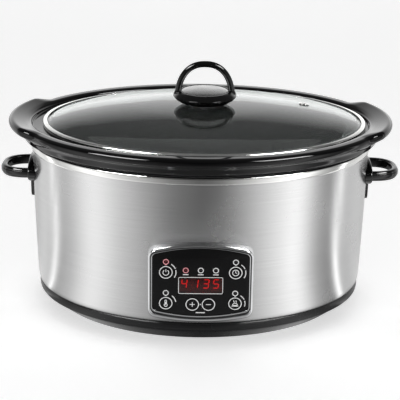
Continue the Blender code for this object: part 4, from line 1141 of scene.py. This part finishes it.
class SLOWCOOKER_OT_inner(bpy.types.Operator):
    """Give the pieces inside the housing their real surfaces"""

    bl_idname = "slow_cooker.inner"
    bl_label = "Inner Parts"

    def execute(self, context):
        screws = [f"foot_screw_{end}_{side}" for end in ("front", "back") for side in ("left", "right")]
        screws += [f"handle_screw_{side}_{end}" for side in ("left", "right") for end in ("front", "back")]
        finishes = {
            "aluminised_steel_sheet": ("heat_shield", "temperature_sensor"),
            "green_solder_mask": ("control_board", "power_board"),
            "mica_heating_tape": ("heating_band",),
            "fired_white_ceramic": ("thermal_fuse",),
            "moulded_grey_silicone": ("knob_gasket",),
            "ribbed_grey_pvc": ("ribbon_cable",),
            "moulded_black_nylon": ("relay", "panel_carrier"),
            "zinc_plated_steel_sheet": (
                "bottom_plate", "centre_bolt", "pan_bracket", "handle_backing_left",
                "handle_backing_right", "knob_washer", "knob_screw", *screws),
        }
        for name, nodes in finishes.items():
            for node in nodes:
                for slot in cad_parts[node].material_slots:
                    slot.material = finish(name)
        return {"FINISHED"}


# --------------------------------------------------------------------- stage

# Brightness of the cards by the angle round the object in degrees, from 0 in front.
CARD_TONES = [
    (-180, 1.9), (-150, 2.0), (-130, 1.8), (-117, 1.3), (-106, 1.0), (-99, 0.95), (-97, 1.05),
    (-93.5, 2.3), (-90.5, 0.9), (-86.5, 0.66), (-76, 0.88), (-68, 1.25), (-61, 1.5), (-55, 1.4),
    (-43, 0.95), (-30, 0.58), (-15, 0.26), (0, 0.13), (10, 0.19), (17, 0.4), (33, 1.0), (45, 1.45),
    (51, 1.75), (57, 1.55), (64, 0.85), (69, 0.58), (77.5, 0.38), (81.5, 0.5), (85, 2.8), (88.5, 0.9),
    (92, 0.85), (100, 0.85), (112, 1.0), (130, 1.8), (150, 2.0), (180, 1.9),
]
# The levels of the cards and their mat: radius and height (m), and the share of its tone
# that each keeps in front and behind.
CARD_LEVELS = [
    # The first two levels lie under the object and keep half or less of their tone: painted shade, the
    # object's shadow on the floor as reflections see it.
    (0.10, 0.0006, 0.5, 0.3), (0.182, 0.0006, 0.5, 0.3), (0.205, 0.0006, 0.95, 0.4),
    (0.33, 0.0006, 0.95, 0.4), (0.45, 0.0006, 1.0, 0.42), (0.62, 0.0006, 1.0, 0.42),
    (0.65, 0.03, 1.0, 0.42), (0.655, 0.2, 0.95, 0.5), (0.66, 0.28, 0.9, 1.0),
    (0.67, 0.42, 0.3, 0.6), (0.68, 0.58, 0.05, 0.1),
]
CARD_STRENGTH = 0.92
PAPER_GLOW = 0.57            # of the floor
ROOM_GLOW = 0.14             # of the world


class SLOWCOOKER_OT_stage(bpy.types.Operator):
    """Set the pale floor, the soft lights and the camera"""

    bl_idname = "slow_cooker.stage"
    bl_label = "Stage"

    def execute(self, context):
        scene = context.scene
        settings = scene.slow_cooker_stage
        power = settings.brightness
        scene.view_settings.view_transform = "Standard"
        # Matt white paper swept up behind, with its own faint glow: even and almost shadowless.
        paper = surface("matt_white_paper", settings.floor, 0.985, (0.75, 0.9), 1.5,
                        200.0, 0.0, {"Emission Color": (1.0, 1.0, 1.0, 1.0),
                                     "Emission Strength": PAPER_GLOW * power})
        profile = rounded([(-9.0, 0.0), (3.2, 0.0), (3.2, 0.9)], 0.5, steps=16)
        bm = bmesh.new()
        line = [bm.verts.new((-4.0, y, z)) for y, z in profile]
        edges = [bm.edges.new(pair) for pair in zip(line, line[1:])]
        made = bmesh.ops.extrude_edge_only(bm, edges=edges)["geom"]
        moved = [item for item in made if isinstance(item, bmesh.types.BMVert)]
        bmesh.ops.translate(bm, vec=(8.0, 0.0, 0.0), verts=moved)
        bmesh.ops.recalc_face_normals(bm, faces=bm.faces)
        sweep = new_object("sweep", bm, paper)
        sweep.data.shade_smooth()
        world = bpy.data.worlds.new("soft_room")
        world.use_nodes = True
        background = world.node_tree.nodes["Background"]
        background.inputs["Color"].default_value = (1.0, 1.0, 1.0, 1.0)
        background.inputs["Strength"].default_value = ROOM_GLOW * power
        scene.world = world
        self.soft_box("fill", (0.0, 0.5, 2.6), (0.0, 0.5, 0.0), (4.5, 4.5), 24.0 * power, False, True)
        self.soft_box("front_fill", (0.0, -1.7, 0.5), (0.0, 0.0, 0.1), (1.2, 0.6), 5.0 * power,
                      False, True)
        for side, name in ((-1.0, "left_box"), (1.0, "right_box")):
            self.soft_box(name, (side, -0.8, 1.35), (0.0, 0.0, 0.15), (0.8, 0.5), 26.0 * power,
                          True, False)
        self.make_cards(power)
        self.make_camera(scene)
        return {"FINISHED"}

    @staticmethod
    def card_tone(azimuth, radius, height, front_share, back_share):
        """The brightness of the cards, or of their mat, at one place round the object."""
        low, high = next(pair for pair in zip(CARD_TONES, CARD_TONES[1:]) if pair[1][0] >= azimuth)
        share = (azimuth - low[0]) / (high[0] - low[0])
        behind = min(max((abs(azimuth) - 108.0) / 20.0, 0.0), 1.0)
        kept = front_share + (back_share - front_share) * behind
        if height < 0.25:
            kept *= 1.0 - 0.6 * max(abs(azimuth) - 140.0, 0.0) / 40.0
        tone = (low[1] + (high[1] - low[1]) * share) * kept
        if 0.2 < radius < 0.35:
            # The mat near the base stays pale even where the cards are dark.
            pale = 0.4 + 0.45 * min(max(abs(azimuth) / 20.0 - 1.0, 0.0), 1.0)
            tone = max(tone, min(1.6 - abs(azimuth) / 60.0, pale))
        return tone

    @classmethod
    def make_cards(cls, power):
        """A ring of soft cards and the mat inside it, seen only in glossy reflections.

        Its brightness changes round the object, from dark in front to bright at the
        front quarters, with a grey gap and a narrow bright strip at each side.
        """
        bm = bmesh.new()
        layer = bm.verts.layers.float.new("tone")
        loop = bmesh.ops.create_circle(bm, segments=180, radius=1.0)["verts"]
        for index, (radius, height, *shares) in enumerate(CARD_LEVELS):
            if index:
                loop = extruded(bm, loop)
            # The dark patch under the object is painted shade, the object's own shadow on the floor as
            # reflections see it; it is an oval like its base.
            squash = 0.78 if radius < 0.35 else 1.0
            # The nearer mat's pattern is drawn in a little, so the bands on the wall stay upright.
            draw_in = 1.0 + 0.35 * (0.55 - min(radius, 0.66))
            for vert in loop:
                turn = math.atan2(vert.co.y, vert.co.x)
                vert.co = (radius * math.cos(turn), radius * squash * math.sin(turn), height)
                azimuth = math.degrees(math.atan2(vert.co.x, -vert.co.y)) * draw_in
                azimuth = min(max(azimuth, -180.0), 180.0)
                vert[layer] = cls.card_tone(azimuth, radius, height, *shares)
        card = bpy.data.materials.new("lit_studio_card")
        card.use_nodes = True
        tree = card.node_tree
        tree.nodes.clear()
        tone = add_node(tree, "ShaderNodeAttribute", attribute_name="tone")
        level = add_node(tree, "ShaderNodeMath", {
            0: tone.outputs["Fac"], 1: CARD_STRENGTH * power}, operation="MULTIPLY")
        glow = add_node(tree, "ShaderNodeEmission", {"Strength": level.outputs[0]})
        add_node(tree, "ShaderNodeOutputMaterial", {"Surface": glow.outputs[0]})
        ring = new_object("card_ring", bm, card)
        for kind in ("camera", "diffuse", "transmission", "volume_scatter", "shadow"):
            setattr(ring, "visible_" + kind, False)

    @staticmethod
    def soft_box(name, place, aim, size, energy, mirrored, spread):
        """A soft light at a place (m), seen in gloss if mirrored, on matt faces if spread."""
        data = bpy.data.lights.new(name, "AREA")
        data.shape = "RECTANGLE"
        data.size, data.size_y = size
        data.energy = energy
        light = bpy.data.objects.new(name, data)
        light.location = place
        light.rotation_euler = (Vector(aim) - Vector(place)).to_track_quat("-Z", "Y").to_euler()
        light.visible_camera = False
        light.visible_diffuse = spread
        light.visible_glossy = mirrored
        bpy.context.scene.collection.objects.link(light)

    @staticmethod
    def make_camera(scene):
        """A long lens a little above the rim, looking slightly down at the front."""
        data = bpy.data.cameras.new("camera")
        data.sensor_width = 36.0
        data.lens = 109.78
        data.shift_x, data.shift_y = 0.0004, -0.0337
        camera = bpy.data.objects.new("camera", data)
        distance, target = 1.30294, Vector((0.0, 0.0, 0.1225))
        rise, yaw, roll = (math.radians(angle) for angle in (18.967, 0.861, 0.831))
        back = Vector((-math.cos(rise) * math.sin(yaw), -math.cos(rise) * math.cos(yaw), math.sin(rise)))
        camera.location = target + back * distance
        aim = (-back).to_track_quat("-Z", "Y").to_matrix() @ Matrix.Rotation(roll, 3, "Z")
        camera.rotation_euler = aim.to_euler()
        scene.collection.objects.link(camera)
        scene.camera = camera


class SLOWCOOKER_PT_sidebar(bpy.types.Panel):
    """Lists the slow cooker's settings and pieces"""

    bl_idname = "SLOWCOOKER_PT_sidebar"
    bl_label = "Slow Cooker"
    bl_space_type = "VIEW_3D"
    bl_region_type = "UI"
    bl_category = "Slow Cooker"

    def draw(self, context):
        for group, title, _ in SETTINGS:
            box = self.layout.box()
            box.label(text=title)
            values = getattr(context.scene, group)
            for name in values.__annotations__:
                box.prop(values, name)
        for piece in PIECES:
            self.layout.operator(piece.bl_idname)


SETTINGS = (
    ("slow_cooker_housing", "Housing", HousingSettings),
    ("slow_cooker_vessel", "Crock and Lid", VesselSettings),
    ("slow_cooker_panel", "Panel", PanelSettings),
    ("slow_cooker_stage", "Stage", StageSettings),
)
PIECES = (
    SLOWCOOKER_OT_wall, SLOWCOOKER_OT_rim, SLOWCOOKER_OT_base, SLOWCOOKER_OT_feet,
    SLOWCOOKER_OT_gland, SLOWCOOKER_OT_pan, SLOWCOOKER_OT_handles, SLOWCOOKER_OT_crock,
    SLOWCOOKER_OT_lid, SLOWCOOKER_OT_knob, SLOWCOOKER_OT_panel, SLOWCOOKER_OT_buttons,
    SLOWCOOKER_OT_lamps, SLOWCOOKER_OT_digits, SLOWCOOKER_OT_inner, SLOWCOOKER_OT_stage,
)
CLASSES = (*(group for _, _, group in SETTINGS), *PIECES, SLOWCOOKER_PT_sidebar)


def register():
    """Registers the settings, the operators and the panel."""
    for made in CLASSES:
        bpy.utils.register_class(made)
    for name, _, group in SETTINGS:
        setattr(bpy.types.Scene, name, PointerProperty(type=group))


def unregister():
    """Takes everything that register added away again."""
    for name, _, _ in SETTINGS:
        delattr(bpy.types.Scene, name)
    for made in reversed(CLASSES):
        bpy.utils.unregister_class(made)


def main():
    """Builds every piece and the stage."""
    register()
    for piece in PIECES:
        group, name = piece.bl_idname.split(".")
        getattr(getattr(bpy.ops, group), name)()


if __name__ == "__main__":
    main()
